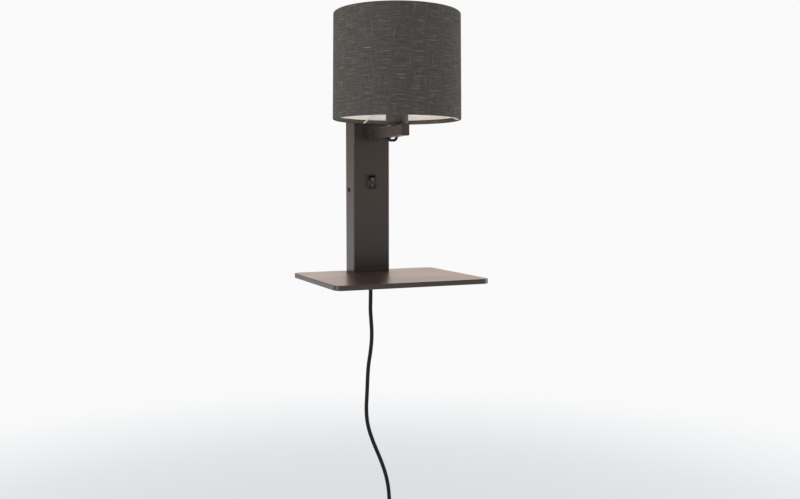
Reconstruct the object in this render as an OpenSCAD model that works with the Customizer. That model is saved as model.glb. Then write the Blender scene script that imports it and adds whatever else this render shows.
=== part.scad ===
// Wall lamp with shelf: a folded steel column on the wall carries a short arm with a fabric
// drum shade in front of it, and a thin shelf under it. The mains cord hangs from the foot.
//
// Millimetres. The origin is on the wall, in the middle between the two wall screws.
// +Z is up, -Y is out from the wall and +X is to the right for someone who faces the lamp.

/* [Column] */
// Width of the column
column_w = 58; // [50:1:80]
// Depth of the column, from the wall to its front
column_d = 33; // [31:1:48]
// Height of the column above the shelf
column_h = 242; // [235:1:320]
// Sheet thickness of the folded housing
sheet_t = 1.5; // [1:0.1:2]
// Outside radius of the folded edges
fold_r = 2; // [1.5:0.1:4]
// Height of the wall mount above the shelf
mount_h = 120; // [110:1:150]
// Height of the two side screws above the shelf
side_screw_h = 124; // [60:1:150]
// Distance of the side screws from the wall
side_screw_out = 11.5; // [8:0.5:22]

/* [Wall bracket] */
// Sheet thickness of the bracket
bracket_t = 2; // [1.5:0.1:3]
// Play between the bracket and the housing
bracket_gap = 0.5; // [0.3:0.1:1]
// Distance between the two wall screws
wall_screw_spacing = 160; // [100:1:200]
// Diameter of the holes for the wall screws
wall_screw_hole_d = 5; // [4:0.1:6]

/* [Arm] */
// Width of the rectangular arm tube
arm_w = 12; // [12:0.5:18]
// Height of the arm tube
arm_h = 16; // [14:0.5:24]
// Wall of the arm tube
arm_wall = 1; // [0.8:0.1:1]
// Height of the arm's underside above the shelf
arm_lift = 199; // [180:1:215]
// Reach of the arm past the lampholder
arm_nose = 29; // [20:1:50]
// Length of the welded socket in front of the column
socket_len = 22; // [15:1:24]

/* [Shade] */
// Outside diameter of the shade at the bottom
shade_bottom_d = 180; // [150:1:220]
// Outside diameter of the shade at the top
shade_top_d = 177; // [140:1:220]
// Height of the shade
shade_h = 146; // [115:1:190]
// Space between the shade and the column
shade_gap = 6; // [3:0.5:20]
// Space between the top of the arm and the bottom of the shade
shade_lift = 7; // [5:0.5:12]
// Thickness of the fabric
cover_t = 0.6; // [0.4:0.1:1]
// Thickness of the white lining
lining_t = 0.5; // [0.3:0.1:0.8]
// Height of the fabric that is turned in at the rims
hem_h = 6; // [5:0.5:12]
// Diameter of the wire in the rims and the spokes
wire_d = 2.4; // [2:0.1:3]
// Rise from the bottom rim to the ring on the lampholder
spoke_rise = 30; // [26:1:36]
// Direction of the first spoke, seen from above
spoke_turn = 101; // [80:1:110]

/* [Lampholder and bulb] */
// Diameter of the lampholder's cup
holder_d = 31.4; // [28:0.2:36]
// Diameter of the lampholder's threaded skirt
skirt_d = 27; // [26:0.5:27.5]
// Diameter of the threaded tube that carries the lampholder
nipple_d = 9.8; // [9.6:0.1:9.8]
// Bore of the threaded tube
nipple_bore = 7; // [6.8:0.1:7.4]
// Diameter of the round lock nut under the lampholder
lock_nut_d = 26; // [20:0.5:28]
// Height of the lock nut
nut_h = 3; // [2:0.5:4]
// Diameter of the bulb's screw cap
cap_d = 13.9; // [13.6:0.1:14]
// Diameter of the bulb's globe
globe_d = 45; // [36:1:60]

/* [Switch] */
// Width of the switch frame
switch_w = 15.5; // [15:0.5:20]
// Height of the switch frame
switch_h = 21; // [20.6:0.2:28]
// Height of the switch above the shelf
switch_lift = 136.5; // [110:0.5:150]
// Angle between the rocker's two positions
rocker_throw = 22; // [16:1:24]

/* [Shelf] */
// Width of the shelf
shelf_w = 230; // [180:1:300]
// Depth of the shelf
shelf_d = 195; // [120:1:240]
// Height of the shelf's edge
shelf_t = 7; // [6:0.5:12]
// Sheet thickness of the shelf, which is a shallow tray with its open side down
shelf_sheet_t = 1.5; // [1:0.1:2.5]
// Radius of the shelf's corners
shelf_r = 12; // [8:1:30]
// Radius of the shelf's upper and lower edges
shelf_edge_r = 1; // [0.5:0.1:2.5]

/* [Cords and plug] */
// Diameter of the mains cord
cord_d = 6; // [5:0.1:6.4]
// Diameter of the lead in the arm
lead_d = 4; // [3.4:0.1:4]
// Length of the tapered sleeve where the cord leaves the shelf
bush_len = 25.5; // [20:0.5:32]
// Inner fold radius of the hank, measured to the middle of the cord
hank_r = 18; // [18:0.5:22]
// Straight length of the hank's runs
hank_run = 66; // [54:1:90]
// Step from one turn of the hank to the next
hank_step = 7.5; // [7:0.1:9]
// Step from one layer of the hank to the next
layer_step = 7; // [6.8:0.1:9]
// Amount by which the tie draws the runs in
waist = 9; // [4:0.5:9]
// Width of the flat plug
plug_w = 35; // [33:1:38]
// Thickness of the flat plug
plug_t = 13.6; // [12:0.2:15]

/* [Hidden] */
$fn = 64;

// Clearances
thread_gap = 0.05;
slide_gap = 0.1;
fit_gap = 0.2;
cloth_gap = 0.1;

// Heights that follow from the shelf
shelf_z = -mount_h;
column_top = shelf_z + column_h;
arm_z = shelf_z + arm_lift;
arm_top = arm_z + arm_h;
arm_mid = arm_z + arm_h / 2;
shade_z = arm_top + shade_lift;
shade_top = shade_z + shade_h;
switch_z = shelf_z + switch_lift;
side_screw_z = shelf_z + side_screw_h;

// Depths that follow from the wall
shade_y = -column_d - shade_gap - shade_bottom_d / 2;
arm_front = shade_y - arm_nose;
arm_back = -column_d + 8;
sheet_back = -column_d + sheet_t;

// Housing and bracket
bracket_w = column_w - 2 * sheet_t - 2 * bracket_gap;
bracket_top = column_top - sheet_t - 0.3;
ear_front = -column_d + sheet_t + 3.5;
ear_h = 32;
side_screw_y = -side_screw_out;
side_head_h = 1.8;
screw_d = 4;
screw_head_d = 7.5;
screw_head_h = 2.8;
small_screw_d = 3;
small_head_d = 5.5;
small_head_h = 2;
boss_d = 8;
ear_boss_h = 3;

// Arm and socket
socket_side = 1.1;
socket_floor = 1.3;
socket_roof = 3.4;
socket_w = arm_w + 2 * slide_gap + 2 * socket_side;
socket_bottom = arm_z - slide_gap - socket_floor;
socket_top = arm_top + slide_gap + socket_roof;
socket_front = -column_d - socket_len;
set_screw_y = -column_d - socket_len * 0.6;
cap_lip = 1.5;
arm_r = 1.2;
arm_inside_r = 0.4;
slot_len = 22;
slot_w = 6.4;
slot_y = shade_y + 39.5;
grommet_lip = 0.8;

// Lampholder
nut_notches = 4;
nut_notch = [2.5, 1.4];
holder_z = arm_top + nut_h;
ring_z = shade_z + spoke_rise;
ring_t = 1.6;
clamp_ring_h = 5;
clamp_ring_d = 33.6;
shoulder_z = ring_z - ring_t / 2 - slide_gap - clamp_ring_h - slide_gap;
skirt_top = ring_z + 18;
hub_h = 10;
core_z = holder_z + hub_h + 3;
core_h = 6;
core_d = skirt_d - 5.2;
shell_z = core_z + core_h;
shell_h = 22;
shell_wall = 0.5;
shell_bore = cap_d + 2 * fit_gap;
contact_h = 2.5;
tip_z = shell_z + contact_h;
tip_h = 1.8;
insulator_h = 2;
cap_z = tip_z + tip_h + insulator_h;
cap_h = 20;
cap_wall = 0.4;
cap_top = cap_z + cap_h;
collar_h = 20;
globe_neck_d = 32;
globe_mid = cap_top + collar_h + sqrt(pow(globe_d / 2, 2) - pow(globe_neck_d / 2, 2));

// Shade rims
roll_r = wire_d / 2 + 0.5;
spoke_foot = 4;
fitter_bore = skirt_d + 0.6;
fitter_ring_d = 38;
function shade_r(z) = (shade_bottom_d + (shade_top_d - shade_bottom_d) * (z - shade_z) / shade_h) / 2;
rim_low = [shade_r(shade_z + roll_r) - roll_r, shade_z + roll_r];
rim_high = [shade_r(shade_top - roll_r) - roll_r, shade_top - roll_r];

// Switch
frame_t = 2;
frame_front = -column_d - frame_t;
body_w = switch_w - 2.7;
body_h = switch_h - 2;
body_back = sheet_back + 9.5;
rocker_w = body_w - 2;
rocker_half = switch_h / 2 - 2.4;
rocker_y = -column_d + 1.5;
rocker_depth = 3.2;
rocker_tip = rocker_depth + rocker_half * tan(rocker_throw / 2);
rocker_room = rocker_half * cos(rocker_throw / 2) + rocker_tip * sin(rocker_throw / 2) + 0.15;
pivot_d = 2.4;
pivot_len = 0.7;
tab_step = 5;
tab_reach = tab_step + 0.5;

// Shelf, foot and cord outlet
floor_front = sheet_back + 1.5;
shelf_screw_x = 20;
shelf_screw_back = -8;
shelf_screw_front = floor_front + 5;
nut_boss_h = 5;
outlet = [3, -20];
outlet_d = 10;
outlet_gap = 0.1;
outlet_lip_d = 13.4;
outlet_lip_h = 2;
bush_end = shelf_z - shelf_sheet_t - bush_len;
tail_top = shelf_z + 34;

// Terminals in the foot
block_z = shelf_z + 52;
block_size = [20, 12, 13];
block_y = -bracket_t;
terminal_x = block_size[0] * 0.3;
insert_h = block_size[2] - 1;
insert_d = 4;
insert_bore = 2.6;
insert_screw_d = 2;
insert_screw_step = 3.5;
clamp_z = shelf_z + 24;
clamp_screw_x = 8;
clamp_bridge = 2.5;

// Route of the mains cord from the end of its sleeve to the hank, as steps from that end
cord_shape = [
    [0, 0, 0], [0, 0, -7], [-0.2, 0, -20], [-0.4, 0, -33], [0.4, 0, -47], [1.4, 0, -61],
    [1.6, 0, -75], [0.6, 0, -89], [-1.2, 0, -103], [-3.4, 0, -116], [-4.8, 0, -130], [-5.6, 0, -144],
    [-6.2, 0, -158], [-7, 0, -172], [-7.6, 0, -185], [-7.2, 0, -198], [-5.6, 0, -211], [-2.4, 0, -224],
    [2, -0.2, -237], [7, -0.6, -250], [12.4, -1, -263], [17.4, -1.6, -276], [21.8, -2.2, -289],
    [25.2, -2.8, -302], [27.6, -3.2, -315], [29, -3.4, -329], [29.8, -3.5, -343], [30, -3.5, -356],
    [30, -3.5, -368], [30, -3.5, -376]
];
cord_route = [for (p = cord_shape) [outlet[0], outlet[1], bush_end] + p];

// Route of the lead under the arm and up into the threaded tube, as steps from the place
// where the lampholder's axis meets the arm's underside
lead_shape = [
    [0, 71, 7], [0, 63, 6.8], [0, 57, 6.2], [0, 52, 5.1], [0, 47.5, 3.5], [0, 43, 1.7],
    [0, 38.5, -0.1], [0, 34, -1.7], [0, 29, -3], [0, 23, -4], [0, 17, -4.4], [0, 12, -4.6],
    [0, 8, -4.4], [0, 5.3, -3.8], [0, 3.1, -2.6], [0, 1.4, -0.8], [0, 0.4, 1.4], [0, 0, 4],
    [0, 0, 9], [0, 0, 16], [0, 0, 23], [0, 0, 30]
];
lead_start = [0, arm_back + 5, arm_z + 7];
lead_route = concat([lead_start], [for (p = lead_shape) [0, shade_y, arm_z] + p]);

// Single cores inside the housing: from the mains cord to the terminals, and on from there
inner_wire_d = 1.8;
core_step = 1.1;
wire_gap = 0.1;
straight = 0.8;
tail_end = [outlet[0], outlet[1], tail_top + wire_gap];
terminal_y = block_y - 6.5;
terminal_reach = insert_h / 2 + wire_gap;
feed_bends = [[0.18, 0.13, 0.25], [0.56, 0.48, 0.54], [0.87, 0.83, 0.75]];
// Steps past the switch, and steps to and from its tabs, seen from the back of its body
past_switch = [[-7, 13, -44.5], [-9, 12, -14.5], [-9, 12, 10.5], [-6, 12, 35.5]];
to_switch = [[6, 12.5, -44.5], [4, 9, -24.5], [1.2, 5, -14.5], [0, 4, -9.5], [0, 4, -tab_reach]];
from_switch = [[0, 4, tab_reach], [0, 4, 9.5], [1.5, 7, 19.5], [3, 11, 33.5]];
// Steps to the start of the lead, seen from it
to_lead = [[3, 9.5, -16], [1.6, 7.5, -6], [core_step, 4, -1], [core_step, wire_gap, 0]];

function terminal(side, up) = [side * terminal_x, terminal_y, block_z + up * terminal_reach];
function feed(from, to) = concat(
    [from, from + [0, 0, straight]],
    [for (b = feed_bends) [for (k = [0:2]) from[k] + b[k] * (to[k] - from[k])]],
    [to - [0, 0, 2 * straight], to]
);
function leave(side) = [terminal(side, 1), terminal(side, 1) + [0, 0, 8]];
function at_switch(steps) = [for (p = steps) [0, body_back, switch_z] + p];
function at_lead(side) = [for (p = to_lead) lead_start + [side * p[0], p[1], p[2]]];

neutral_feed = feed(tail_end - [core_step, 0, 0], terminal(-1, -1));
live_feed = feed(tail_end + [core_step, 0, 0], terminal(1, -1));
neutral_run = concat(leave(-1), at_switch(past_switch), at_lead(-1));
live_run = concat(leave(1), at_switch(to_switch));
switched_run = concat(at_switch(from_switch), at_lead(1));

// Hank: two layers of turns, the first winding inwards and the second outwards
hank_turns = 2;
hank_out_r = hank_r + hank_step * hank_turns;
end_of_route = cord_route[len(cord_route) - 1];
hank_lead_in = 6;
hank_tail = 20;
hank_x = end_of_route[0] - hank_out_r;
hank_y = end_of_route[1] + layer_step / 2;
hank_z = end_of_route[2] - hank_lead_in - hank_run / 2;
hank_run_share = hank_run / (2 * hank_run + PI * (hank_r + hank_out_r));
hank_loops = 2 * hank_turns + hank_run_share;
tie_w = 10;
tie_t = 1.2;
plug_x = end_of_route[0];
plug_y = hank_y + layer_step / 2;
sleeve_top = hank_z - hank_run / 2 - hank_tail;
sleeve_h = 24;
plug_top = sleeve_top - sleeve_h;
plug_h = 36;
pin_d = 4;
pin_len = 19;
pin_root_d = 3.2;
pin_root_len = 8;
pin_step = 0.5;
pin_tip = 1;
pin_spacing = 18.6;

// Radius of the turn, layer and draw of the waist at t loops along the hank
function hank_fold_r(t) =
    t < hank_turns ? hank_r + hank_step * (hank_turns - t)
    : t < hank_turns + hank_run_share ? hank_r
    : hank_r + hank_step * (t - hank_turns - hank_run_share);
function hank_layer(t) =
    let (climb = min(max((t - hank_turns) / hank_run_share, 0), 1))
    hank_y + layer_step * (-cos(180 * climb)) / 2;
function hank_draw(z) = waist * (1 + cos(360 * z / hank_run)) / 2;
function hank_point(t) =
    let (u = t - floor(t), side = u < 0.5 ? 1 : -1, v = (u < 0.5 ? u : u - 0.5) / hank_run_share)
    let (r = hank_fold_r(t), y = hank_layer(t), half = hank_run / 2)
    v < 1
    ? let (z = side * (half - hank_run * v)) [hank_x + side * (r - hank_draw(z)), y, hank_z + z]
    : let (turn = 180 * (v - 1) / (0.5 / hank_run_share - 1))
    [hank_x + side * r * cos(turn), y, hank_z - side * (half + r * sin(turn))];
function hank_route(rings) =
    let (steps = round(rings * hank_loops))
    concat(
        [end_of_route],
        [for (i = [0:steps]) hank_point(min(hank_loops * i / steps, hank_loops - 0.0001))],
        [[plug_x, plug_y, sleeve_top + hank_tail / 2], [plug_x, plug_y, sleeve_top]]
    );
function nearest(p, i, from) = min([for (j = [from:len(p) - 1]) norm(p[i] - p[j])]);
function least_gap(p, apart) = min([for (i = [0:len(p) - 1 - apart]) nearest(p, i, i + apart)]) - cord_d;
function path_length(p, i = 1) = i < len(p) ? norm(p[i] - p[i - 1]) + path_length(p, i + 1) : 0;

echo(hank_least_gap = least_gap(hank_route(72), 18));
echo(cord_length = path_length(cord_route) + path_length(hank_route(72)));

// ---- Shapes that repeat ----

// Rectangle with round corners, about the origin
module round_rect(w, h, r) {
    square([w - 2 * r, h], center = true);
    square([w, h - 2 * r], center = true);
    for (sx = [-1, 1], sy = [-1, 1])
        translate([sx * (w / 2 - r), sy * (h / 2 - r)]) circle(r);
}

// Outline in X and Z, extruded out from the wall, from one depth to the next
module extrude_out(from_y, to_y) {
    translate([0, from_y, 0]) rotate([90, 0, 0]) linear_extrude(from_y - to_y) children();
}

// Outline in Y and Z, extruded to the right
module extrude_right(from_x, to_x) {
    translate([from_x, 0, 0]) rotate([90, 0, 90]) linear_extrude(to_x - from_x) children();
}

// Cylinder along Y that starts at a depth and ends nearer the room
module round_out(d, from_y, to_y) {
    translate([0, from_y, 0]) rotate([90, 0, 0]) cylinder(d = d, h = from_y - to_y);
}

// Plate with round corners and rounded upper and lower edges
module soft_plate(w, d, t, r, e) {
    for (sx = [-1, 1], sy = [-1, 1])
        translate([sx * (w / 2 - r), sy * (d / 2 - r), 0])
            rotate_extrude()
                intersection() {
                    round_rect(2 * r, t, e);
                    translate([0, -t / 2]) square([r, t]);
                }
    rotate([90, 0, 90]) translate([0, 0, -w / 2 + r]) linear_extrude(w - 2 * r) round_rect(d, t, e);
    rotate([90, 0, 0]) translate([0, 0, -d / 2 + r]) linear_extrude(d - 2 * r) round_rect(w, t, e);
}

// Tube swept along a route, its rings square to the route; side_way is never along the route
module swept_tube(route, r, sides, side_way) {
    n = len(route);
    rings = [
        for (i = [0:n - 1])
            let (
                ahead = route[min(i + 1, n - 1)] - route[max(i - 1, 0)],
                t = ahead / norm(ahead),
                side = side_way - (side_way * t) * t,
                a = side / norm(side),
                b = cross(t, a)
            )
            for (k = [0:sides - 1]) route[i] + r * (cos(360 * k / sides) * a + sin(360 * k / sides) * b)
    ];
    walls = [
        for (i = [0:n - 2], k = [0:sides - 1])
            let (p = i * sides + k, q = i * sides + (k + 1) % sides)
            for (face = [[p, p + sides, q + sides], [p, q + sides, q]]) face
    ];
    last = (n - 1) * sides;
    first_end = [for (k = [1:sides - 2]) [0, k, k + 1]];
    last_end = [for (k = [1:sides - 2]) [last, last + k + 1, last + k]];
    polyhedron(rings, concat(walls, first_end, last_end));
}

// Pan head screw along +Z: its head stands on the plane z = 0 and its shank hangs below
module pan_screw(head_d, head_h, shank_d, shank_len) {
    rim_h = head_h * 0.35;
    dome_h = head_h - rim_h;
    dome_r = (head_d * head_d / 4 + dome_h * dome_h) / (2 * dome_h);
    slot_l = head_d * 0.56;
    slot_t = head_d * 0.13;
    slot_depth = head_h * 0.45;
    difference() {
        union() {
            rotate_extrude()
                intersection() {
                    translate([0, head_h - dome_r]) circle(dome_r);
                    square([head_d / 2, head_h]);
                }
            translate([0, 0, -shank_len]) cylinder(d = shank_d, h = shank_len + 0.01);
        }
        for (turn = [0, 90])
            rotate([0, 0, turn])
                translate([-slot_l / 2, -slot_t / 2, head_h - slot_depth]) cube([slot_l, slot_t, head_h]);
    }
}

// ---- Column ----

module wall_bracket() {
    corner_r = 1.5;
    ear_x = bracket_w / 2 - bracket_t / 2;
    top_w = bracket_w - 16;
    foot_w = bracket_w - 1;
    color("Gainsboro")
        difference() {
            union() {
                extrude_out(0, -bracket_t)
                    translate([0, (shelf_z + bracket_top) / 2])
                        round_rect(bracket_w, bracket_top - shelf_z, corner_r);
                // Tongue under the top of the housing
                translate([-top_w / 2, ear_front, bracket_top - bracket_t])
                    cube([top_w, -ear_front, bracket_t]);
                // Ears with the bosses for the side screws
                for (side = [-1, 1]) {
                    extrude_right(side * ear_x - bracket_t / 2, side * ear_x + bracket_t / 2)
                        translate([ear_front / 2, side_screw_z]) round_rect(-ear_front, ear_h, corner_r);
                    translate([side * (bracket_w / 2 - bracket_t), side_screw_y, side_screw_z])
                        rotate([0, -side * 90, 0]) cylinder(d = boss_d, h = ear_boss_h);
                }
                // Foot plate that stands on the shelf, with press nuts
                translate([-foot_w / 2, floor_front, shelf_z]) cube([foot_w, -floor_front, bracket_t]);
                shelf_screw_places() cylinder(d = boss_d, h = bracket_t + nut_boss_h);
            }
            wall_screw_places() round_out(wall_screw_hole_d, 1, -bracket_t - 1);
            side_screw_holes(thread_gap);
            translate([0, 0, -1])
                shelf_screw_places() screw_hole(screw_d, thread_gap, bracket_t + nut_boss_h + 2);
            translate([outlet[0], outlet[1], shelf_z - 1])
                cylinder(d = outlet_d + 2 * outlet_gap, h = bracket_t + 2);
            // Threads for the terminal block and the cord clamp
            translate([0, 0, block_z]) round_out(small_screw_d + 2 * thread_gap, 1, -bracket_t - 1);
            clamp_screw_places() round_out(small_screw_d + 2 * thread_gap, 1, -bracket_t - 1);
        }
}

// Holes through both sides for the side screws, wider than the screws by a gap all round
module side_screw_holes(gap) {
    translate([-column_w, side_screw_y, side_screw_z])
        rotate([0, 90, 0]) cylinder(d = screw_d + 2 * gap, h = 2 * column_w);
}

module screw_hole(d, gap, depth) {
    cylinder(d = d + 2 * gap, h = depth);
}

module wall_screw_places() {
    for (side = [-1, 1]) translate([0, 0, side * wall_screw_spacing / 2]) children();
}

module shelf_screw_places() {
    for (side = [-1, 1], y = [shelf_screw_back, shelf_screw_front])
        translate([side * shelf_screw_x, y, shelf_z]) children();
}

// Outline of the housing seen from above, open to the wall
module housing_outline(w, front, r) {
    translate([-w / 2, front + r]) square([w, -front - r]);
    translate([-w / 2 + r, front]) square([w - 2 * r, r]);
    for (side = [-1, 1]) translate([side * (w / 2 - r), front + r]) circle(r);
}

// Outline of the housing seen from the side, round at the top of its front
module side_outline(front, top, r) {
    translate([front, shelf_z]) square([-front, top - r - shelf_z]);
    translate([front + r, shelf_z]) square([-front - r, top - shelf_z]);
    translate([front + r, top - r]) circle(r);
}

module column_housing() {
    socket_mid = (socket_bottom + socket_top) / 2;
    inside_r = max(fold_r - sheet_t, 0.3);
    both_gaps = [2 * slide_gap, 2 * slide_gap];
    color([0.2, 0.18, 0.17])
        difference() {
            intersection() {
                translate([0, 0, shelf_z])
                    linear_extrude(column_h) housing_outline(column_w, -column_d, fold_r);
                extrude_out(0, -column_d)
                    translate([0, column_top - column_h])
                        rotate(180) housing_outline(column_w, -column_h, fold_r);
                extrude_right(-column_w / 2, column_w / 2) side_outline(-column_d, column_top, fold_r);
            }
            translate([0, 1, shelf_z - 1])
                linear_extrude(column_h + 1 - sheet_t)
                    housing_outline(column_w - 2 * sheet_t, sheet_back - 1, inside_r);
            // Openings for the socket, the switch and the side screws
            extrude_out(-sheet_t, -column_d - 1)
                translate([0, socket_mid])
                    square([socket_w, socket_top - socket_bottom] + both_gaps, center = true);
            extrude_out(-sheet_t, -column_d - 1)
                translate([0, switch_z]) square([body_w, body_h] + both_gaps, center = true);
            side_screw_holes(fit_gap);
        }
}

module side_screws() {
    color("DimGray")
        for (side = [-1, 1])
            translate([side * column_w / 2, side_screw_y, side_screw_z])
                rotate([0, side * 90, 0]) pan_screw(screw_head_d, side_head_h, screw_d, 6);
}

// ---- Arm ----

module arm_section(w, h, r) {
    translate([0, arm_mid]) round_rect(w, h, r);
}

module arm_socket() {
    flange_t = 2;
    flange_edge = 10;
    socket_mid = (socket_bottom + socket_top) / 2;
    color([0.17, 0.15, 0.14])
        difference() {
            union() {
                extrude_out(sheet_back, socket_front)
                    translate([0, socket_mid]) round_rect(socket_w, socket_top - socket_bottom, 1);
                // Flange behind the sheet
                extrude_out(sheet_back + flange_t, sheet_back)
                    translate([0, socket_mid])
                        round_rect(socket_w + 2 * flange_edge, socket_top - socket_bottom + 2 * flange_edge, 3);
            }
            extrude_out(0, socket_front - 1) arm_section(arm_w + 2 * slide_gap, arm_h + 2 * slide_gap, arm_r);
            translate([0, set_screw_y, arm_top - 1]) screw_hole(screw_d, thread_gap, socket_roof + 3);
        }
}

module arm_set_screw() {
    hex_d = 2.3;
    hex_depth = 1.6;
    color("DimGray")
        translate([0, set_screw_y, arm_top])
            difference() {
                cylinder(d = screw_d, h = socket_roof);
                translate([0, 0, socket_roof - hex_depth]) cylinder(d = hex_d, h = hex_depth + 1, $fn = 6);
            }
}

module arm_tube() {
    color([0.24, 0.21, 0.19])
        difference() {
            extrude_out(arm_back, arm_front + cap_lip)
                difference() {
                    arm_section(arm_w, arm_h, arm_r);
                    arm_section(arm_w - 2 * arm_wall, arm_h - 2 * arm_wall, arm_inside_r);
                }
            translate([0, shade_y, arm_z - 1]) screw_hole(nipple_d, thread_gap, arm_h + 2);
            translate([0, slot_y, arm_z - 1]) slot(slot_len, slot_w, arm_wall + 2);
        }
}

// Slot with round ends along Y
module slot(len_y, w, h) {
    linear_extrude(h) {
        square([w, len_y - w], center = true);
        for (end = [-1, 1]) translate([0, end * (len_y - w) / 2]) circle(d = w);
    }
}

module arm_end_cap() {
    edge = 0.5;
    plug_len = 7;
    plug_wall = 1.4;
    inside_w = arm_w - 2 * arm_wall - 2 * slide_gap;
    inside_h = arm_h - 2 * arm_wall - 2 * slide_gap;
    color([0.22, 0.19, 0.18])
        difference() {
            union() {
                extrude_out(arm_front + cap_lip, arm_front + edge) arm_section(arm_w, arm_h, arm_r);
                extrude_out(arm_front + edge, arm_front)
                    arm_section(arm_w - 2 * edge, arm_h - 2 * edge, arm_r - 0.4);
                extrude_out(arm_front + cap_lip + plug_len, arm_front + cap_lip)
                    arm_section(inside_w, inside_h, arm_inside_r);
            }
            extrude_out(arm_front + cap_lip + plug_len + 1, arm_front + cap_lip)
                arm_section(inside_w - 2 * plug_wall, inside_h - 2 * plug_wall, arm_inside_r);
        }
}

module slot_grommet() {
    overlap = 1;
    wall = 0.8;
    color([0.08, 0.08, 0.08])
        translate([0, slot_y, 0])
            difference() {
                union() {
                    translate([0, 0, arm_z]) slot(slot_len - 2 * slide_gap, slot_w - 2 * slide_gap, arm_wall);
                    for (z = [arm_z - grommet_lip, arm_z + arm_wall])
                        translate([0, 0, z]) slot(slot_len + 2 * overlap, slot_w + 2 * overlap, grommet_lip);
                }
                translate([0, 0, arm_z - grommet_lip - 1])
                    slot(slot_len - 2 * wall, slot_w - 2 * wall, arm_wall + 2 * grommet_lip + 2);
            }
}

module arm_lead() {
    color([0.06, 0.06, 0.06]) swept_tube(lead_route, lead_d / 2, 8, [1, 0, 0]);
}

// ---- Lampholder and bulb ----

module holder_nipple() {
    stand_out = 0.4;
    chamfer = 1;
    low = arm_z - stand_out;
    high = holder_z + hub_h - 1 - stand_out;
    color("Silver")
        translate([0, shade_y, 0])
            difference() {
                translate([0, 0, low]) cylinder(d = nipple_d, h = high - low);
                translate([0, 0, low - 1]) cylinder(d = nipple_bore, h = high - low + 2);
                translate([0, 0, low - 0.01])
                    cylinder(d1 = nipple_bore + 2 * chamfer, d2 = nipple_bore, h = chamfer);
            }
}

module nipple_nut() {
    color([0.25, 0.25, 0.25])
        translate([0, shade_y, arm_top])
            difference() {
                cylinder(d = lock_nut_d, h = nut_h);
                translate([0, 0, -1]) cylinder(d = nipple_d + 2 * thread_gap, h = nut_h + 2);
                // Notches for a hook spanner
                for (k = [0.5:nut_notches])
                    rotate(k * 360 / nut_notches)
                        translate([lock_nut_d / 2 - nut_notch[1], -nut_notch[0] / 2, -1])
                            cube([nut_notch[1] + 1, nut_notch[0], nut_h + 2]);
            }
}

module lamp_holder() {
    cup_r = holder_d / 2;
    skirt_r = skirt_d / 2;
    room_r = core_d / 2 + slide_gap;
    edge = 2.5;
    floor_lip = 2;
    grooves = 3;
    groove_r = 0.5;
    groove_pitch = 2.4;
    color([0.12, 0.1, 0.09])
        translate([0, shade_y, 0])
            rotate_extrude()
                difference() {
                    union() {
                        translate([0, holder_z]) square([cup_r - edge, shoulder_z - holder_z]);
                        translate([0, holder_z + edge]) square([cup_r, shoulder_z - holder_z - edge]);
                        translate([cup_r - edge, holder_z + edge]) circle(edge);
                        translate([0, shoulder_z - 0.01]) square([skirt_r, skirt_top - shoulder_z]);
                    }
                    translate([-cup_r, holder_z - 1]) square([cup_r, skirt_top - holder_z + 2]);
                    translate([-0.01, holder_z - 1]) square([nipple_d / 2 + thread_gap + 0.01, hub_h + 2]);
                    translate([-0.01, holder_z + hub_h])
                        square([core_d / 2 - floor_lip, core_z - holder_z - hub_h + 1]);
                    translate([-0.01, core_z]) square([room_r, skirt_top - core_z + 1]);
                    // Grip grooves round the cup
                    for (k = [1:grooves])
                        translate([cup_r, shoulder_z - 1.6 - groove_pitch * k]) circle(groove_r);
                }
}

module holder_core() {
    wire_hole_d = 2.6;
    wire_hole_x = 6;
    color("Ivory")
        translate([0, shade_y, core_z])
            difference() {
                cylinder(d = core_d, h = core_h);
                for (side = [-1, 1])
                    translate([side * wire_hole_x, 0, -1]) cylinder(d = wire_hole_d, h = core_h + 2);
            }
}

module holder_shell() {
    floor_t = 0.8;
    floor_hole_d = 7;
    color("Goldenrod")
        translate([0, shade_y, shell_z])
            difference() {
                cylinder(d = shell_bore + 2 * shell_wall, h = shell_h);
                translate([0, 0, floor_t]) cylinder(d = shell_bore, h = shell_h);
                translate([0, 0, -1]) cylinder(d = floor_hole_d, h = floor_t + 2);
            }
}

module centre_contact() {
    strip = [4, 5, 0.6];
    tip_d = 3.4;
    slit_w = 2.4;
    color("Goldenrod")
        translate([0, shade_y, shell_z])
            difference() {
                union() {
                    translate([-strip[0] / 2, -strip[1] / 2, 0]) cube(strip);
                    translate([0, 0, strip[2]]) cylinder(d = tip_d, h = contact_h - strip[2]);
                }
                translate([-slit_w / 2, -strip[1], strip[2]]) cube([slit_w, 2 * strip[1], 0.9]);
            }
}

module bulb_tip() {
    tip_d = 5;
    cone_h = 0.8;
    color("Silver")
        translate([0, shade_y, tip_z]) {
            cylinder(d1 = tip_d - 2 * cone_h, d2 = tip_d, h = cone_h);
            translate([0, 0, cone_h]) cylinder(d = tip_d, h = tip_h - cone_h);
        }
}

module bulb_insulator() {
    color([0.1, 0.1, 0.1])
        translate([0, shade_y, tip_z + tip_h]) cylinder(d1 = 8, d2 = cap_d - 1, h = insulator_h);
}

// Screw cap with rolled thread ridges
module bulb_cap() {
    cap_r = cap_d / 2;
    core_r = cap_r - 0.5;
    ridge_r = 0.7;
    ridges = 5;
    pitch = 2.8;
    plain_h = 3;
    rim_t = 0.6;
    color("Silver")
        translate([0, shade_y, cap_z])
            rotate_extrude()
                difference() {
                    union() {
                        square([core_r, cap_h]);
                        for (k = [0:ridges - 1]) translate([cap_r - ridge_r, 2.4 + pitch * k]) circle(ridge_r);
                        translate([0, cap_h - plain_h]) square([cap_r, plain_h]);
                    }
                    translate([-cap_r, -1]) square([cap_r, cap_h + 2]);
                    translate([-0.01, rim_t]) square([core_r - cap_wall + 0.01, cap_h]);
                }
}

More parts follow.
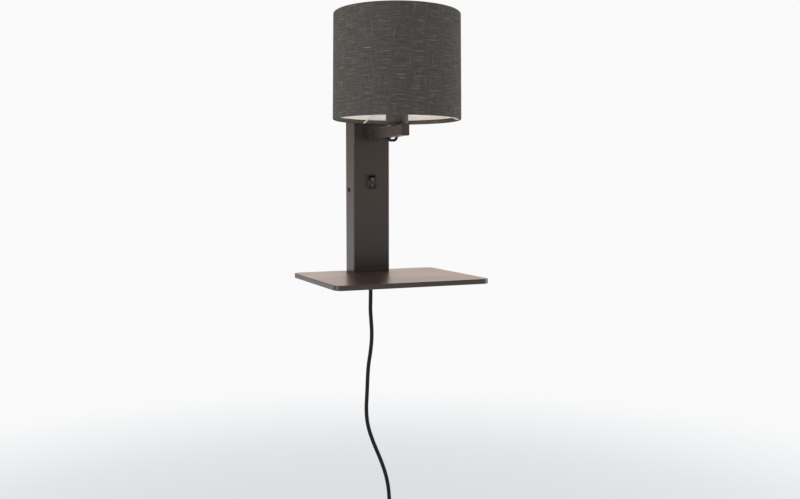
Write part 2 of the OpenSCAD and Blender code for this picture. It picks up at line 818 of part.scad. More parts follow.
module bulb_collar() {
    plug_r = cap_d / 2 - 0.5 - cap_wall - slide_gap;
    plug_h = 6;
    seat_r = cap_d / 2 + 0.3;
    neck_h = 8;
    neck_r = seat_r + 0.9;
    top_z = cap_top + collar_h;
    color("WhiteSmoke")
        translate([0, shade_y, 0])
            rotate_extrude()
                polygon([
                    [0, cap_top - plug_h], [plug_r, cap_top - plug_h], [plug_r, cap_top], [seat_r, cap_top],
                    [neck_r, cap_top + neck_h], [globe_neck_d / 2, top_z - 1], [globe_neck_d / 2, top_z],
                    [0, top_z]
                ]);
}

module bulb_globe() {
    glass_t = 1;
    globe_z = cap_top + collar_h;
    color([0.96, 0.96, 0.94])
        translate([0, shade_y, 0])
            rotate_extrude()
                difference() {
                    translate([0, globe_mid]) circle(d = globe_d);
                    translate([0, globe_mid]) circle(d = globe_d - 2 * glass_t);
                    translate([-globe_d, globe_mid - globe_d]) square([globe_d, 2 * globe_d]);
                    translate([-1, globe_z - globe_d]) square([globe_d, globe_d]);
                }
}

// ---- Shade ----

module shade_ring(z) {
    flange_h = 1.6;
    body_d = clamp_ring_d - 3;
    notch_d = 1.6;
    color([0.1, 0.09, 0.08])
        translate([0, shade_y, z])
            difference() {
                union() {
                    cylinder(d = body_d, h = clamp_ring_h);
                    cylinder(d = clamp_ring_d, h = flange_h);
                }
                translate([0, 0, -1]) screw_hole(skirt_d, thread_gap, clamp_ring_h + 2);
                for (turn = [0:30:330])
                    rotate([0, 0, turn])
                        translate([(body_d + 0.4) / 2, 0, flange_h]) cylinder(d = notch_d, h = clamp_ring_h);
            }
}

module shade_ring_lower() {
    translate([0, 2 * shade_y, 2 * (shoulder_z + slide_gap) + clamp_ring_h])
        rotate([180, 0, 0]) shade_ring(shoulder_z + slide_gap);
}

module shade_ring_upper() {
    shade_ring(ring_z + ring_t / 2 + slide_gap);
}

module shade_fitter() {
    out_r = rim_low[0];
    foot_r = out_r - spoke_foot;
    in_r = fitter_ring_d / 2 - 1;
    rise = ring_z - rim_low[1];
    spoke_d = wire_d - 0.3;
    color([0.86, 0.86, 0.84])
        translate([0, shade_y, 0]) {
            rotate_extrude() translate(rim_low) circle(d = wire_d);
            translate([0, 0, ring_z - ring_t / 2])
                difference() {
                    cylinder(d = fitter_ring_d, h = ring_t);
                    translate([0, 0, -1]) cylinder(d = fitter_bore, h = ring_t + 2);
                }
            for (k = [0:2])
                rotate([0, 0, spoke_turn + 120 * k])
                    translate([foot_r, 0, rim_low[1]]) {
                        rotate([0, 90, 0]) cylinder(d = spoke_d, h = spoke_foot - wire_d / 4);
                        sphere(d = spoke_d + 0.1);
                        rotate([0, -atan2(foot_r - in_r, rise), 0])
                            cylinder(d = spoke_d, h = norm([foot_r - in_r, rise]));
                    }
        }
}

module shade_top_ring() {
    color([0.86, 0.86, 0.84])
        translate([0, shade_y, 0]) rotate_extrude() translate(rim_high) circle(d = wire_d);
}

// Profile of one layer of the shade's wall between two heights, inset from the outside
module wall_layer(inset, t, from_z, to_z) {
    polygon([
        [shade_r(from_z) - inset - t, from_z], [shade_r(from_z) - inset, from_z],
        [shade_r(to_z) - inset, to_z], [shade_r(to_z) - inset - t, to_z]
    ]);
}

module shade_lining() {
    low = shade_z + 2 * roll_r + fit_gap;
    high = shade_top - 2 * roll_r - fit_gap;
    color([0.97, 0.97, 0.95])
        translate([0, shade_y, 0]) rotate_extrude() wall_layer(cover_t + cloth_gap, lining_t, low, high);
}

// Fabric round both rims: it is turned in over the wire and glued to the lining
module shade_cover() {
    turn_in = cover_t + lining_t + 2 * cloth_gap;
    color([0.42, 0.39, 0.36])
        translate([0, shade_y, 0])
            difference() {
                rotate_extrude()
                    difference() {
                        union() {
                            wall_layer(0, cover_t, rim_low[1], rim_high[1]);
                            translate(rim_low) circle(roll_r);
                            translate(rim_high) circle(roll_r);
                            wall_layer(turn_in, cover_t, rim_low[1], shade_z + hem_h);
                            wall_layer(turn_in, cover_t, shade_top - hem_h, rim_high[1]);
                        }
                        translate(rim_low) circle(wire_d / 2 + cloth_gap);
                        translate(rim_high) circle(wire_d / 2 + cloth_gap);
                    }
                for (k = [0:2])
                    rotate([0, 0, spoke_turn + 120 * k])
                        translate([rim_low[0] - spoke_foot - 1, 0, rim_low[1]])
                            rotate([0, 90, 0]) cylinder(d = wire_d + 2 * fit_gap, h = spoke_foot + 1);
            }
}

// ---- Switch ----

module switch_frame() {
    edge = 0.4;
    front_t = 0.6;
    clip = [1.1, 5];
    color([0.07, 0.07, 0.07])
        difference() {
            union() {
                extrude_out(-column_d, frame_front + front_t)
                    translate([0, switch_z]) round_rect(switch_w, switch_h, 1);
                extrude_out(frame_front + front_t, frame_front)
                    translate([0, switch_z]) round_rect(switch_w - 2 * edge, switch_h - 2 * edge, 0.8);
                extrude_out(body_back, -column_d)
                    translate([0, switch_z]) square([body_w, body_h], center = true);
                // Snap clips behind the sheet, above and below
                for (up = [-1, 1])
                    extrude_right(-3, 3)
                        translate([sheet_back + slide_gap, switch_z + up * body_h / 2])
                            polygon([[0, 0], [0, up * clip[0]], [clip[1], 0]]);
            }
            extrude_out(body_back - 1, frame_front - 1)
                translate([0, switch_z]) square([rocker_w + 2 * slide_gap, 2 * rocker_room], center = true);
            translate([-body_w, rocker_y, switch_z])
                rotate([0, 90, 0]) cylinder(d = pivot_d + 2 * thread_gap, h = 2 * body_w);
        }
}

// Rocker about its pivot: two faces that meet in a valley, tilted so that the lower one is pressed in
module switch_rocker() {
    heel = 2.6;
    heel_w = 3;
    color([0.1, 0.1, 0.1])
        translate([0, rocker_y, switch_z])
            rotate([rocker_throw / 2, 0, 0]) {
                extrude_right(-rocker_w / 2, rocker_w / 2)
                    polygon([
                        [-rocker_tip, -rocker_half], [-rocker_depth, 0], [-rocker_tip, rocker_half],
                        [1, rocker_half - 0.5], [heel, heel_w / 2], [heel, -heel_w / 2], [1, -rocker_half + 0.5]
                    ]);
                translate([-rocker_w / 2 - pivot_len, 0, 0])
                    rotate([0, 90, 0]) cylinder(d = pivot_d, h = rocker_w + 2 * pivot_len);
            }
}

module switch_terminals() {
    tab = [4.8, 7, 0.8];
    eye_d = 1.8;
    color("Goldenrod")
        for (up = [-1, 1])
            translate([-tab[0] / 2, body_back, switch_z + up * tab_step - tab[2] / 2])
                difference() {
                    cube(tab);
                    translate([tab[0] / 2, tab[1] - 2.4, -1]) cylinder(d = eye_d, h = tab[2] + 2);
                }
}

// ---- Wiring space in the foot ----

module terminal_block() {
    screw_well_d = 3;
    color("WhiteSmoke")
        difference() {
            translate([0, block_y - block_size[1] / 2, block_z]) cube(block_size, center = true);
            translate([0, 0, block_z]) round_out(small_screw_d + 2 * fit_gap, 1, block_y - block_size[1] - 1);
            terminal_places() {
                translate([0, 0, -block_size[2]]) cylinder(d = insert_d + 2 * slide_gap, h = 2 * block_size[2]);
                for (up = [-1, 1])
                    translate([0, 0, up * insert_screw_step])
                        rotate([90, 0, 0]) cylinder(d = screw_well_d, h = block_size[1] + 1);
            }
        }
}

module terminal_places() {
    for (side = [-1, 1]) translate([side * terminal_x, terminal_y, block_z]) children();
}

module terminal_inserts() {
    color("Goldenrod")
        terminal_places()
            difference() {
                translate([0, 0, -insert_h / 2]) cylinder(d = insert_d, h = insert_h);
                translate([0, 0, -insert_h]) cylinder(d = insert_bore, h = 2 * insert_h);
                for (up = [-1, 1])
                    translate([0, 0, up * insert_screw_step])
                        rotate([90, 0, 0]) screw_hole(insert_screw_d, thread_gap, insert_d);
            }
}

module terminal_screws() {
    screw_len = 4;
    slot_t = 0.6;
    color("Silver") {
        terminal_places()
            for (up = [-1, 1])
                translate([0, -0.5, up * insert_screw_step])
                    rotate([90, 0, 0])
                        difference() {
                            cylinder(d = insert_screw_d, h = screw_len);
                            translate([-insert_screw_d, -slot_t / 2, screw_len - 0.8])
                                cube([2 * insert_screw_d, slot_t, 1]);
                        }
        translate([0, block_y - block_size[1], block_z])
            rotate([90, 0, 0])
                pan_screw(small_head_d, small_head_h, small_screw_d, block_size[1] + 1.5);
    }
}

module neutral_wires() {
    color("SteelBlue") {
        swept_tube(neutral_feed, inner_wire_d / 2, 6, [0, 0.3, 1]);
        swept_tube(neutral_run, inner_wire_d / 2, 6, [1, 0, 0]);
    }
}

module live_wires() {
    color("SaddleBrown") {
        swept_tube(live_feed, inner_wire_d / 2, 6, [0, 0.3, 1]);
        swept_tube(live_run, inner_wire_d / 2, 6, [1, 0, 0]);
        swept_tube(switched_run, inner_wire_d / 2, 6, [1, 0, 0]);
    }
}

// Saddle that holds the cord against the bracket
module cord_clamp() {
    saddle = [24, 10];
    bridge_t = clamp_bridge;
    front = outlet[1] - cord_d / 2 - bridge_t;
    color([0.15, 0.15, 0.15])
        difference() {
            translate([outlet[0] - saddle[0] / 2, front, clamp_z - saddle[1] / 2])
                cube([saddle[0], -bracket_t - front, saddle[1]]);
            translate([outlet[0], outlet[1], clamp_z - saddle[1]])
                screw_hole(cord_d, slide_gap, 2 * saddle[1]);
            clamp_screw_places() round_out(small_screw_d + 2 * fit_gap, 1, front - 1);
        }
}

module clamp_screw_places() {
    for (side = [-1, 1]) translate([outlet[0] + side * clamp_screw_x, 0, clamp_z]) children();
}

module clamp_screws() {
    seat = outlet[1] - cord_d / 2 - clamp_bridge;
    color("Silver")
        clamp_screw_places()
            translate([0, seat, 0])
                rotate([90, 0, 0]) pan_screw(small_head_d, small_head_h, small_screw_d, -seat - 0.5);
}

// ---- Shelf and cord outlet ----

module shelf() {
    inside_w = shelf_w - 2 * shelf_sheet_t;
    inside_d = shelf_d - 2 * shelf_sheet_t;
    color([0.2, 0.18, 0.17])
        difference() {
            translate([0, -shelf_d / 2, shelf_z - shelf_t / 2])
                soft_plate(shelf_w, shelf_d, shelf_t, shelf_r, shelf_edge_r);
            // Hollow of the tray
            translate([0, -shelf_d / 2, shelf_z - shelf_t - 1])
                linear_extrude(shelf_t - shelf_sheet_t + 1)
                    round_rect(inside_w, inside_d, shelf_r - shelf_sheet_t);
            translate([0, 0, -shelf_t])
                shelf_screw_places() cylinder(d = screw_d + 2 * fit_gap, h = shelf_t + 1);
            translate([outlet[0], outlet[1], shelf_z - shelf_t])
                cylinder(d = outlet_d + 2 * outlet_gap, h = shelf_t + 1);
        }
}

module shelf_screws() {
    screw_len = shelf_sheet_t + bracket_t + nut_boss_h - 0.5;
    color("DimGray")
        translate([0, 0, -shelf_sheet_t])
            shelf_screw_places()
                rotate([180, 0, 0])
                    pan_screw(screw_head_d, screw_head_h, screw_d, screw_len);
}

// Snap-in bush: lip above the foot plate, flange under the shelf and a ribbed, tapered sleeve
module cord_bush() {
    sheet_under = shelf_z - shelf_sheet_t;
    lip_z = shelf_z + bracket_t;
    flange_h = 2;
    rib_pitch = 5;
    color([0.06, 0.06, 0.06])
        translate([outlet[0], outlet[1], 0])
            difference() {
                union() {
                    translate([0, 0, sheet_under]) cylinder(d = outlet_d, h = lip_z - sheet_under);
                    translate([0, 0, lip_z]) cylinder(d1 = outlet_lip_d, d2 = outlet_d, h = outlet_lip_h);
                    translate([0, 0, sheet_under - flange_h])
                        cylinder(d1 = outlet_d + 3, d2 = outlet_d + 5, h = flange_h);
                    translate([0, 0, bush_end])
                        cylinder(d1 = cord_d + 1.8, d2 = cord_d + 4, h = bush_len - flange_h);
                }
                translate([0, 0, bush_end - 1]) cylinder(d = cord_d + 2 * slide_gap, h = 60);
                for (k = [0:2]) translate([0, 0, bush_end + 3 + rib_pitch * k]) flex_groove(cord_d + 1.4);
            }
}

// Groove round a sleeve that lets it bend
module flex_groove(core) {
    groove_h = 1.6;
    difference() {
        cylinder(d = 3 * core, h = groove_h);
        translate([0, 0, -1]) cylinder(d = core, h = groove_h + 2);
    }
}

module cord_tail() {
    color([0.05, 0.05, 0.05])
        translate([outlet[0], outlet[1], bush_end]) cylinder(d = cord_d, h = tail_top - bush_end);
}

// ---- Mains cord, hank and plug ----

module mains_cord() {
    color([0.05, 0.05, 0.05]) swept_tube(cord_route, cord_d / 2, 10, [0, 1, 0]);
}

module cord_hank() {
    color([0.05, 0.05, 0.05]) swept_tube(hank_route(24), cord_d / 2, 6, [0, 1, 0]);
}

module cord_tie() {
    reach = hank_draw(0.6 * tie_w);
    corner = cord_d / 2 + 2 * fit_gap;
    right = hank_fold_r(hank_run_share / 2) - reach + corner;
    left = hank_fold_r(0.5 + hank_run_share / 2) - reach + corner;
    wide = left + right;
    deep = layer_step + 2 * corner;
    color([0.12, 0.12, 0.12])
        translate([hank_x + (right - left) / 2, hank_y, hank_z - tie_w / 2])
            linear_extrude(tie_w)
                difference() {
                    union() {
                        round_rect(wide + 2 * tie_t, deep + 2 * tie_t, corner + tie_t);
                        // Overlapping end of the strap
                        translate([-wide / 4, -deep / 2 - 2 * tie_t]) square([wide / 2, 2 * tie_t]);
                    }
                    round_rect(wide, deep, corner);
                }
}

// Flat two-pin plug, its pins down, with a tapered sleeve for the cord
module plug_body() {
    face_z = plug_top - plug_h;
    shoulder = 12;
    neck_w = 12;
    edge_t = 3;
    flat_w = plug_w - 10;
    grip_d = 14;
    grip_depth = 0.6;
    color([0.05, 0.05, 0.05])
        translate([plug_x, plug_y, 0])
            difference() {
                union() {
                    intersection() {
                        rotate([90, 0, 0]) linear_extrude(plug_t, center = true) plug_front(neck_w, shoulder);
                        translate([0, 0, face_z]) linear_extrude(plug_h)
                            polygon([
                                [-plug_w / 2, edge_t / 2], [-flat_w / 2, plug_t / 2], [flat_w / 2, plug_t / 2],
                                [plug_w / 2, edge_t / 2], [plug_w / 2, -edge_t / 2], [flat_w / 2, -plug_t / 2],
                                [-flat_w / 2, -plug_t / 2], [-plug_w / 2, -edge_t / 2]
                            ]);
                    }
                    translate([0, 0, plug_top - 1])
                        cylinder(d1 = neck_w - 1, d2 = cord_d + 1.6, h = sleeve_h + 1);
                }
                for (k = [0:3]) translate([0, 0, plug_top + 3 + 5 * k]) flex_groove(cord_d + 1);
                // Grip hollows on the flat sides
                for (side = [-1, 1])
                    translate([0, side * (plug_t / 2 + grip_d / 2 - grip_depth), plug_top - 19])
                        rotate([0, 90, 0]) cylinder(d = grip_d, h = 16, center = true);
                plug_pin_places()
                    translate([0, 0, face_z - 1]) screw_hole(pin_root_d, slide_gap, pin_root_len + 1);
            }
}

// The plug seen from its flat side: a straight body under sloping shoulders
module plug_front(neck_w, shoulder) {
    face_z = plug_top - plug_h;
    round_r = 4;
    square_w = plug_w - 2 * round_r;
    translate([-plug_w / 2, face_z]) square([plug_w, plug_h - shoulder]);
    polygon([
        [-plug_w / 2, plug_top - shoulder], [-neck_w / 2, plug_top], [neck_w / 2, plug_top],
        [plug_w / 2, plug_top - shoulder]
    ]);
    for (side = [-1, 1]) translate([side * square_w / 2, plug_top - shoulder]) circle(round_r);
}

module plug_pin_places() {
    for (side = [-1, 1]) translate([side * pin_spacing / 2, 0, 0]) children();
}

module plug_pins() {
    color("Silver")
        translate([plug_x, plug_y, 0])
            plug_pin_places()
                translate([0, 0, plug_top - plug_h - pin_len]) {
                    cylinder(d1 = pin_d - 1.6, d2 = pin_d, h = pin_tip);
                    translate([0, 0, pin_tip]) cylinder(d = pin_d, h = pin_len - pin_tip - pin_step);
                    translate([0, 0, pin_len - pin_step - 1])
                        cylinder(d = pin_root_d, h = pin_root_len + pin_step + 1);
                }
}

wall_bracket();
column_housing();
side_screws();
arm_socket();
arm_set_screw();
arm_tube();
arm_end_cap();
slot_grommet();
arm_lead();
holder_nipple();
nipple_nut();
lamp_holder();
holder_core();
holder_shell();
centre_contact();
shade_ring_lower();
shade_ring_upper();
shade_fitter();
shade_top_ring();
shade_lining();
shade_cover();
bulb_tip();
bulb_insulator();
bulb_cap();
bulb_collar();
bulb_globe();
switch_frame();
switch_rocker();
switch_terminals();
terminal_block();
terminal_inserts();
terminal_screws();
neutral_wires();
live_wires();
cord_clamp();
clamp_screws();
shelf();
shelf_screws();
cord_bush();
cord_tail();
mains_cord();
cord_hank();
cord_tie();
plug_body();
plug_pins();
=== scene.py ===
# Wall lamp with shelf: a coated steel column that hides its wall bracket and wiring, a short arm
# with a fabric drum shade, a thin shelf, and a black mains cord that hangs from the foot.
# Metres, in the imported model's frame: the wall is the plane y = 0 and the room is at -y.
import math

import bpy
import bmesh
from mathutils import Matrix, Vector


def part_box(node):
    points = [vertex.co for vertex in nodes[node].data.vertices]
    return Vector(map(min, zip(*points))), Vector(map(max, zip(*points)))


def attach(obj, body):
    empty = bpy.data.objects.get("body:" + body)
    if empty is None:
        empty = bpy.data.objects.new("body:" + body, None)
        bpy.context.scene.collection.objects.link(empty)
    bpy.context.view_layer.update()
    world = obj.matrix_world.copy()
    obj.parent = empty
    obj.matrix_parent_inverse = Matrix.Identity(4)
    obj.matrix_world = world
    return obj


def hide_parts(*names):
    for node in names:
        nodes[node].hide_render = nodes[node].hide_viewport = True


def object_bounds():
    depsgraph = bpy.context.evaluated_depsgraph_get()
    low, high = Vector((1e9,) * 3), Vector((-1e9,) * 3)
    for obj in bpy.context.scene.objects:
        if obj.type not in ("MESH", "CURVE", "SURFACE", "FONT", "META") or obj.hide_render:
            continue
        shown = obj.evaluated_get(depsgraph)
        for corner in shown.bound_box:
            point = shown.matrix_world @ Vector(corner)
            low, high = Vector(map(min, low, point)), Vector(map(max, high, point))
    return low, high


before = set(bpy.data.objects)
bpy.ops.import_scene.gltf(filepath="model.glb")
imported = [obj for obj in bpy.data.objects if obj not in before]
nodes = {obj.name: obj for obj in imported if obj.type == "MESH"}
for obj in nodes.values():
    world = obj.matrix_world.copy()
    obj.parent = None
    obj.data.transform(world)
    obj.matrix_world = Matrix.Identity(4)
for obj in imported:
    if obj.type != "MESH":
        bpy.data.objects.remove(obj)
cad_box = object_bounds()
scene = bpy.context.scene


# ---- Camera ----
# The photograph's place and lens, found by fitting the shade's rims, the column and the shelf's
# corners. It stands left of the lamp, a little above the shelf, and looks slightly down.
camera_place = (-0.4810, -1.2334, 0.0062)
turn_to_right = math.radians(23.73)
look_down = math.radians(4.09)
focal_length_px = 852.4
photo_width_px = 800


def new_object(name, data):
    """An object in the scene."""
    made = bpy.data.objects.new(name, data)
    scene.collection.objects.link(made)
    return made


camera_data = bpy.data.cameras.new("camera")
camera_data.sensor_width = 36
camera_data.lens = focal_length_px / photo_width_px * camera_data.sensor_width
camera = new_object("camera", camera_data)
camera.location = camera_place
camera.rotation_euler = (math.pi / 2 - look_down, 0, -turn_to_right)
scene.camera = camera


# ---- Mains cord ----
# A round two-core lead in black soft plastic, 6 mm thick. It leaves a bush under the shelf, hangs
# down and ends in a flat moulded plug; the length below the picture is folded into a tied hank.
cord_d = 0.006


def heights(node):
    """The lowest and the highest z of a CAD piece."""
    return [corner.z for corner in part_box(node)]


shelf_under = heights("shelf")[0]
bush_low, bush_high = heights("cord_bush")
outlet = Vector((0.003, -0.020, bush_low))
cord_steps_mm = [
    (0, 0, 0), (0, 0, -7), (-0.2, 0, -20), (-0.4, 0, -33), (0.4, 0, -47), (1.4, 0, -61),
    (1.6, 0, -75), (0.6, 0, -89), (-1.2, 0, -103), (-3.4, 0, -116), (-4.8, 0, -130), (-5.6, 0, -144),
    (-6.2, 0, -158), (-7, 0, -172), (-7.6, 0, -185), (-7.2, 0, -198), (-5.6, 0, -211), (-2.4, 0, -224),
    (2, -0.2, -237), (7, -0.6, -250), (12.4, -1, -263), (17.4, -1.6, -276), (21.8, -2.2, -289),
    (25.2, -2.8, -302), (27.6, -3.2, -315), (29, -3.4, -329), (29.8, -3.5, -343), (30, -3.5, -356),
    (30, -3.5, -368), (30, -3.5, -376),
]
cord_route = [outlet + Vector(step) / 1000 for step in cord_steps_mm]

hank_fold_r = 0.018
hank_run = 0.066
hank_step = 0.0075
layer_step = 0.007
waist = 0.009
hank_turns = 2
hank_tail = 0.020
hank_drop = 0.006
points_per_loop = 64
outer_fold_r = hank_fold_r + hank_step * hank_turns
run_share = hank_run / (2 * hank_run + math.pi * (hank_fold_r + outer_fold_r))
hank_loops = 2 * hank_turns + run_share
hank_centre = cord_route[-1] + Vector((-outer_fold_r, layer_step / 2, -hank_drop - hank_run / 2))


def hank_radius(loop):
    """Fold radius at so many loops: the first layer winds inwards, the second outwards."""
    if loop < hank_turns:
        return hank_fold_r + hank_step * (hank_turns - loop)
    return hank_fold_r + hank_step * max(loop - hank_turns - run_share, 0)


def hank_point(loop):
    share = loop % 1
    r = hank_radius(loop)
    climb = min(max((loop - hank_turns) / run_share, 0), 1)
    y = -layer_step * math.cos(math.pi * climb) / 2
    half = hank_run / 2
    going_down = share < 0.5
    side = 1 if going_down else -1
    along = (share if going_down else share - 0.5) / run_share
    if along < 1:
        z = side * (half - hank_run * along)
        drawn = waist * (1 + math.cos(2 * math.pi * z / hank_run)) / 2
        return hank_centre + Vector((side * (r - drawn), y, z))
    turn = math.pi * ((share % 0.5) - run_share) / (0.5 - run_share)
    return hank_centre + Vector((side * r * math.cos(turn), y, -side * (half + r * math.sin(turn))))


def smooth_route(points, step):
    """Points about one step apart on a smooth curve through the given ones."""
    route = []
    for i in range(len(points) - 1):
        before, start, end, after = (points[min(max(k, 0), len(points) - 1)] for k in range(i - 1, i + 3))
        pieces = max(1, round((end - start).length / step))
        for k in range(pieces):
            t = k / pieces
            route.append(0.5 * (
                2 * start + (end - before) * t
                + (2 * before - 5 * start + 4 * end - after) * t ** 2
                + (3 * start - before - 3 * end + after) * t ** 3
            ))
    return route + [points[-1]]


def cord_curve(name, points, thickness):
    """A round cord as one open spline through the points."""
    curve = bpy.data.curves.new(name, "CURVE")
    curve.dimensions = "3D"
    curve.bevel_depth = thickness / 2
    curve.bevel_resolution = 5
    curve.use_fill_caps = True
    spline = curve.splines.new("POLY")
    spline.points.add(len(points) - 1)
    for point, place in zip(spline.points, points):
        point.co = (*place, 1)
    spline.use_smooth = True
    return new_object(name, curve)


hank_count = round(points_per_loop * hank_loops)
last_loop = hank_loops - 1e-6
hank_route = [hank_point(min(hank_loops * i / hank_count, last_loop)) for i in range(hank_count + 1)]
plug_x = cord_route[-1].x
plug_y = hank_centre.y + layer_step / 2
sleeve_top = hank_centre.z - hank_run / 2 - hank_tail
end_run = [Vector((plug_x, plug_y, sleeve_top + rise)) for rise in (hank_tail / 2, 0)]
hanging = smooth_route(cord_route, step=0.004)
whole_route = hanging + hank_route + end_run
mains_cord = cord_curve("mains_cord_line", whole_route, cord_d)


def connect(tree, node, sockets):
    """Sets a node's inputs: another node's socket is linked, anything else is a constant."""
    for name, value in sockets.items():
        if isinstance(value, bpy.types.NodeSocket):
            tree.links.new(value, node.inputs[name])
        else:
            node.inputs[name].default_value = value


def add_node(tree, kind, sockets=None, **settings):
    """A shader node of a kind, with its settings and inputs set."""
    made = tree.nodes.new("ShaderNode" + kind)
    for name, value in settings.items():
        setattr(made, name, value)
    connect(tree, made, sockets or {})
    return made


def new_group(name, inputs, outputs):
    """An empty shader group with named number, colour or vector sockets."""
    group = bpy.data.node_groups.new(name, "ShaderNodeTree")
    for socket, (kind, value) in inputs.items():
        made = group.interface.new_socket(socket, in_out="INPUT", socket_type=kind)
        if value is not None:
            made.default_value = value
    for socket, kind in outputs.items():
        group.interface.new_socket(socket, in_out="OUTPUT", socket_type=kind)
    return group, group.nodes.new("NodeGroupInput"), group.nodes.new("NodeGroupOutput")


NUMBER = "NodeSocketFloat"
VECTOR = "NodeSocketVector"


def linear(r, g, b):
    """Shader colour for a colour seen on screen, 0 to 255."""
    return tuple(
        (c / 255 / 12.92 if c <= 10 else ((c / 255 + 0.055) / 1.055) ** 2.4) for c in (r, g, b)
    ) + (1,)


def math_node(tree, operation, *values, clamp=False):
    made = add_node(tree, "Math", dict(enumerate(values)), operation=operation, use_clamp=clamp)
    return made.outputs[0]


def spread(tree, value, low, high, start=0.0, end=1.0, smooth=False):
    """A value between start and end, spread over another range."""
    sockets = {"Value": value, "From Min": start, "From Max": end, "To Min": low, "To Max": high}
    kind = "SMOOTHSTEP" if smooth else "LINEAR"
    return add_node(tree, "MapRange", sockets, interpolation_type=kind).outputs[0]


def noise(tree, place, scale, detail, roughness=0.5):
    """Outputs of a smooth noise."""
    sockets = {"Vector": place, "Scale": scale, "Detail": detail, "Roughness": roughness}
    return add_node(tree, "TexNoise", sockets).outputs


def build_surface_grain():
    """Fine grain and broad blotches, in the object's own metres."""
    group, given, out = new_group(
        "surface_grain",
        {"Grains per metre": (NUMBER, 1500.0), "Blotches per metre": (NUMBER, 25.0)},
        {"Grain": NUMBER, "Blotch": NUMBER},
    )
    place = add_node(group, "TexCoord").outputs["Object"]
    grain = noise(group, place, given.outputs["Grains per metre"], detail=2.0, roughness=0.55)
    blotch = noise(group, place, given.outputs["Blotches per metre"], detail=1.0, roughness=0.4)
    connect(group, out, {"Grain": grain["Fac"], "Blotch": blotch["Fac"]})
    return group


surface_grain = build_surface_grain()


def use_group(tree, group, sockets=None):
    return add_node(tree, "Group", sockets, node_tree=group)


def new_material(name, screen_colour):
    """A material with its Principled shader, and that shader's node tree."""
    material = bpy.data.materials.new(name)
    material.use_nodes = True
    material.diffuse_color = linear(*screen_colour)
    shader = material.node_tree.nodes["Principled BSDF"]
    return material, material.node_tree, shader


def blended(tree, share, first, second):
    """A colour between two colours or colour sockets, by a 0 to 1 share."""
    return add_node(tree, "Mix", {0: share, 6: first, 7: second}, data_type="RGBA").outputs[2]


def vector_node(tree, operation, *values):
    made = add_node(tree, "VectorMath", dict(enumerate(values)), operation=operation)
    return made.outputs["Value" if operation in ("DOT_PRODUCT", "LENGTH") else "Vector"]


def build_soft_edges():
    """The rounded normal of an edge, and a mask that is 1 where the surface turns sharply."""
    group, given, out = new_group(
        "soft_edges", {"Edge radius": (NUMBER, 0.0004)}, {"Normal": VECTOR, "Edge": NUMBER}
    )
    rounded = add_node(group, "Bevel", {"Radius": given.outputs["Edge radius"]}, samples=4)
    flat = add_node(group, "NewGeometry").outputs["Normal"]
    agree = vector_node(group, "DOT_PRODUCT", rounded.outputs[0], flat)
    edge = spread(group, agree, 1.0, 0.0, start=0.75, end=0.995)
    connect(group, out, {"Normal": rounded.outputs[0], "Edge": edge})
    return group


soft_edges = build_soft_edges()


def grained_material(
    name, dark, light, rough, grains, relief, metallic=0.0, blotches=25.0, rough_spread=0.06,
    edge_radius=0.0, worn=None, gloss=0.5,
):
    """Two close tones, a fine grain in relief, an uneven gloss and, if given, soft or worn edges."""
    material, tree, shader = new_material(name, light)
    grain = use_group(tree, surface_grain, {"Grains per metre": grains, "Blotches per metre": blotches})
    share = spread(tree, grain.outputs["Blotch"], 0.0, 1.0, start=0.2, end=0.8, smooth=True)
    colour = blended(tree, share, linear(*dark), linear(*light))
    bump = add_node(tree, "Bump", {"Height": grain.outputs["Grain"], "Distance": relief})
    if edge_radius:
        edges = use_group(tree, soft_edges, {"Edge radius": edge_radius})
        tree.links.new(edges.outputs["Normal"], bump.inputs["Normal"])
        if worn:
            rubbed = math_node(tree, "MULTIPLY", edges.outputs["Edge"], grain.outputs["Blotch"])
            colour = blended(tree, rubbed, colour, linear(*worn))
    roughness = spread(tree, share, rough - rough_spread, rough + rough_spread)
    connect(tree, shader, {
        "Base Color": colour, "Roughness": roughness, "Normal": bump.outputs["Normal"],
        "Metallic": metallic, "Specular IOR Level": gloss,
    })
    return material


def dress(piece, material):
    """Gives a piece one material on all its faces."""
    piece.data.materials.clear()
    piece.data.materials.append(material)
    if piece.type == "MESH":
        for face in piece.data.polygons:
            face.material_index = 0


def declare(piece, material, slot, *stands_for, body="lamp"):
    """Dresses a piece, hangs it under its body, hides the nodes it stands for, and gives it back. The slot is
    not used.
    """
    dress(piece, material)
    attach(piece, body)
    if stands_for:
        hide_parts(*stands_for)
    return piece


cord_sheath = grained_material(
    "cord_sheath", (12, 12, 12), (18, 18, 18), rough=0.52, grains=2200.0, relief=0.00003, blotches=60.0,
    rough_spread=0.04, gloss=0.22,
)
declare(mains_cord, cord_sheath, "black_cord", "mains_cord", "cord_hank")


# ---- Lead under the arm ----
# The lamp's thinner lead comes out of a slot in the arm's underside and turns back up into the
# threaded tube of the lampholder, because that tube fills the arm.
lead_d = 0.004
arm_low = heights("arm_tube")[0]
holder_axis_y = (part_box("lamp_holder")[0].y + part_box("lamp_holder")[1].y) / 2
lead_steps_mm = [
    (0, 109, 7), (0, 99, 7), (0, 89, 7), (0, 80, 7), (0, 71, 7),
    (0, 63, 6.8), (0, 57, 6.2), (0, 52, 5.1), (0, 47.5, 3.5), (0, 43, 1.7), (0, 38.5, -0.1),
    (0, 34, -1.7), (0, 29, -3), (0, 23, -4), (0, 17, -4.4), (0, 12, -4.6), (0, 8, -4.4), (0, 5.3, -3.8),
    (0, 3.1, -2.6), (0, 1.4, -0.8), (0, 0.4, 1.4), (0, 0, 4), (0, 0, 9), (0, 0, 16), (0, 0, 23), (0, 0, 30),
]
lead_foot = Vector((0, holder_axis_y, arm_low))
lead_route = [lead_foot + Vector(step) / 1000 for step in lead_steps_mm]
lead_line = smooth_route(lead_route, step=0.0015)
arm_lead = declare(cord_curve("arm_lead_line", lead_line, lead_d), cord_sheath, "black_cord", "arm_lead")


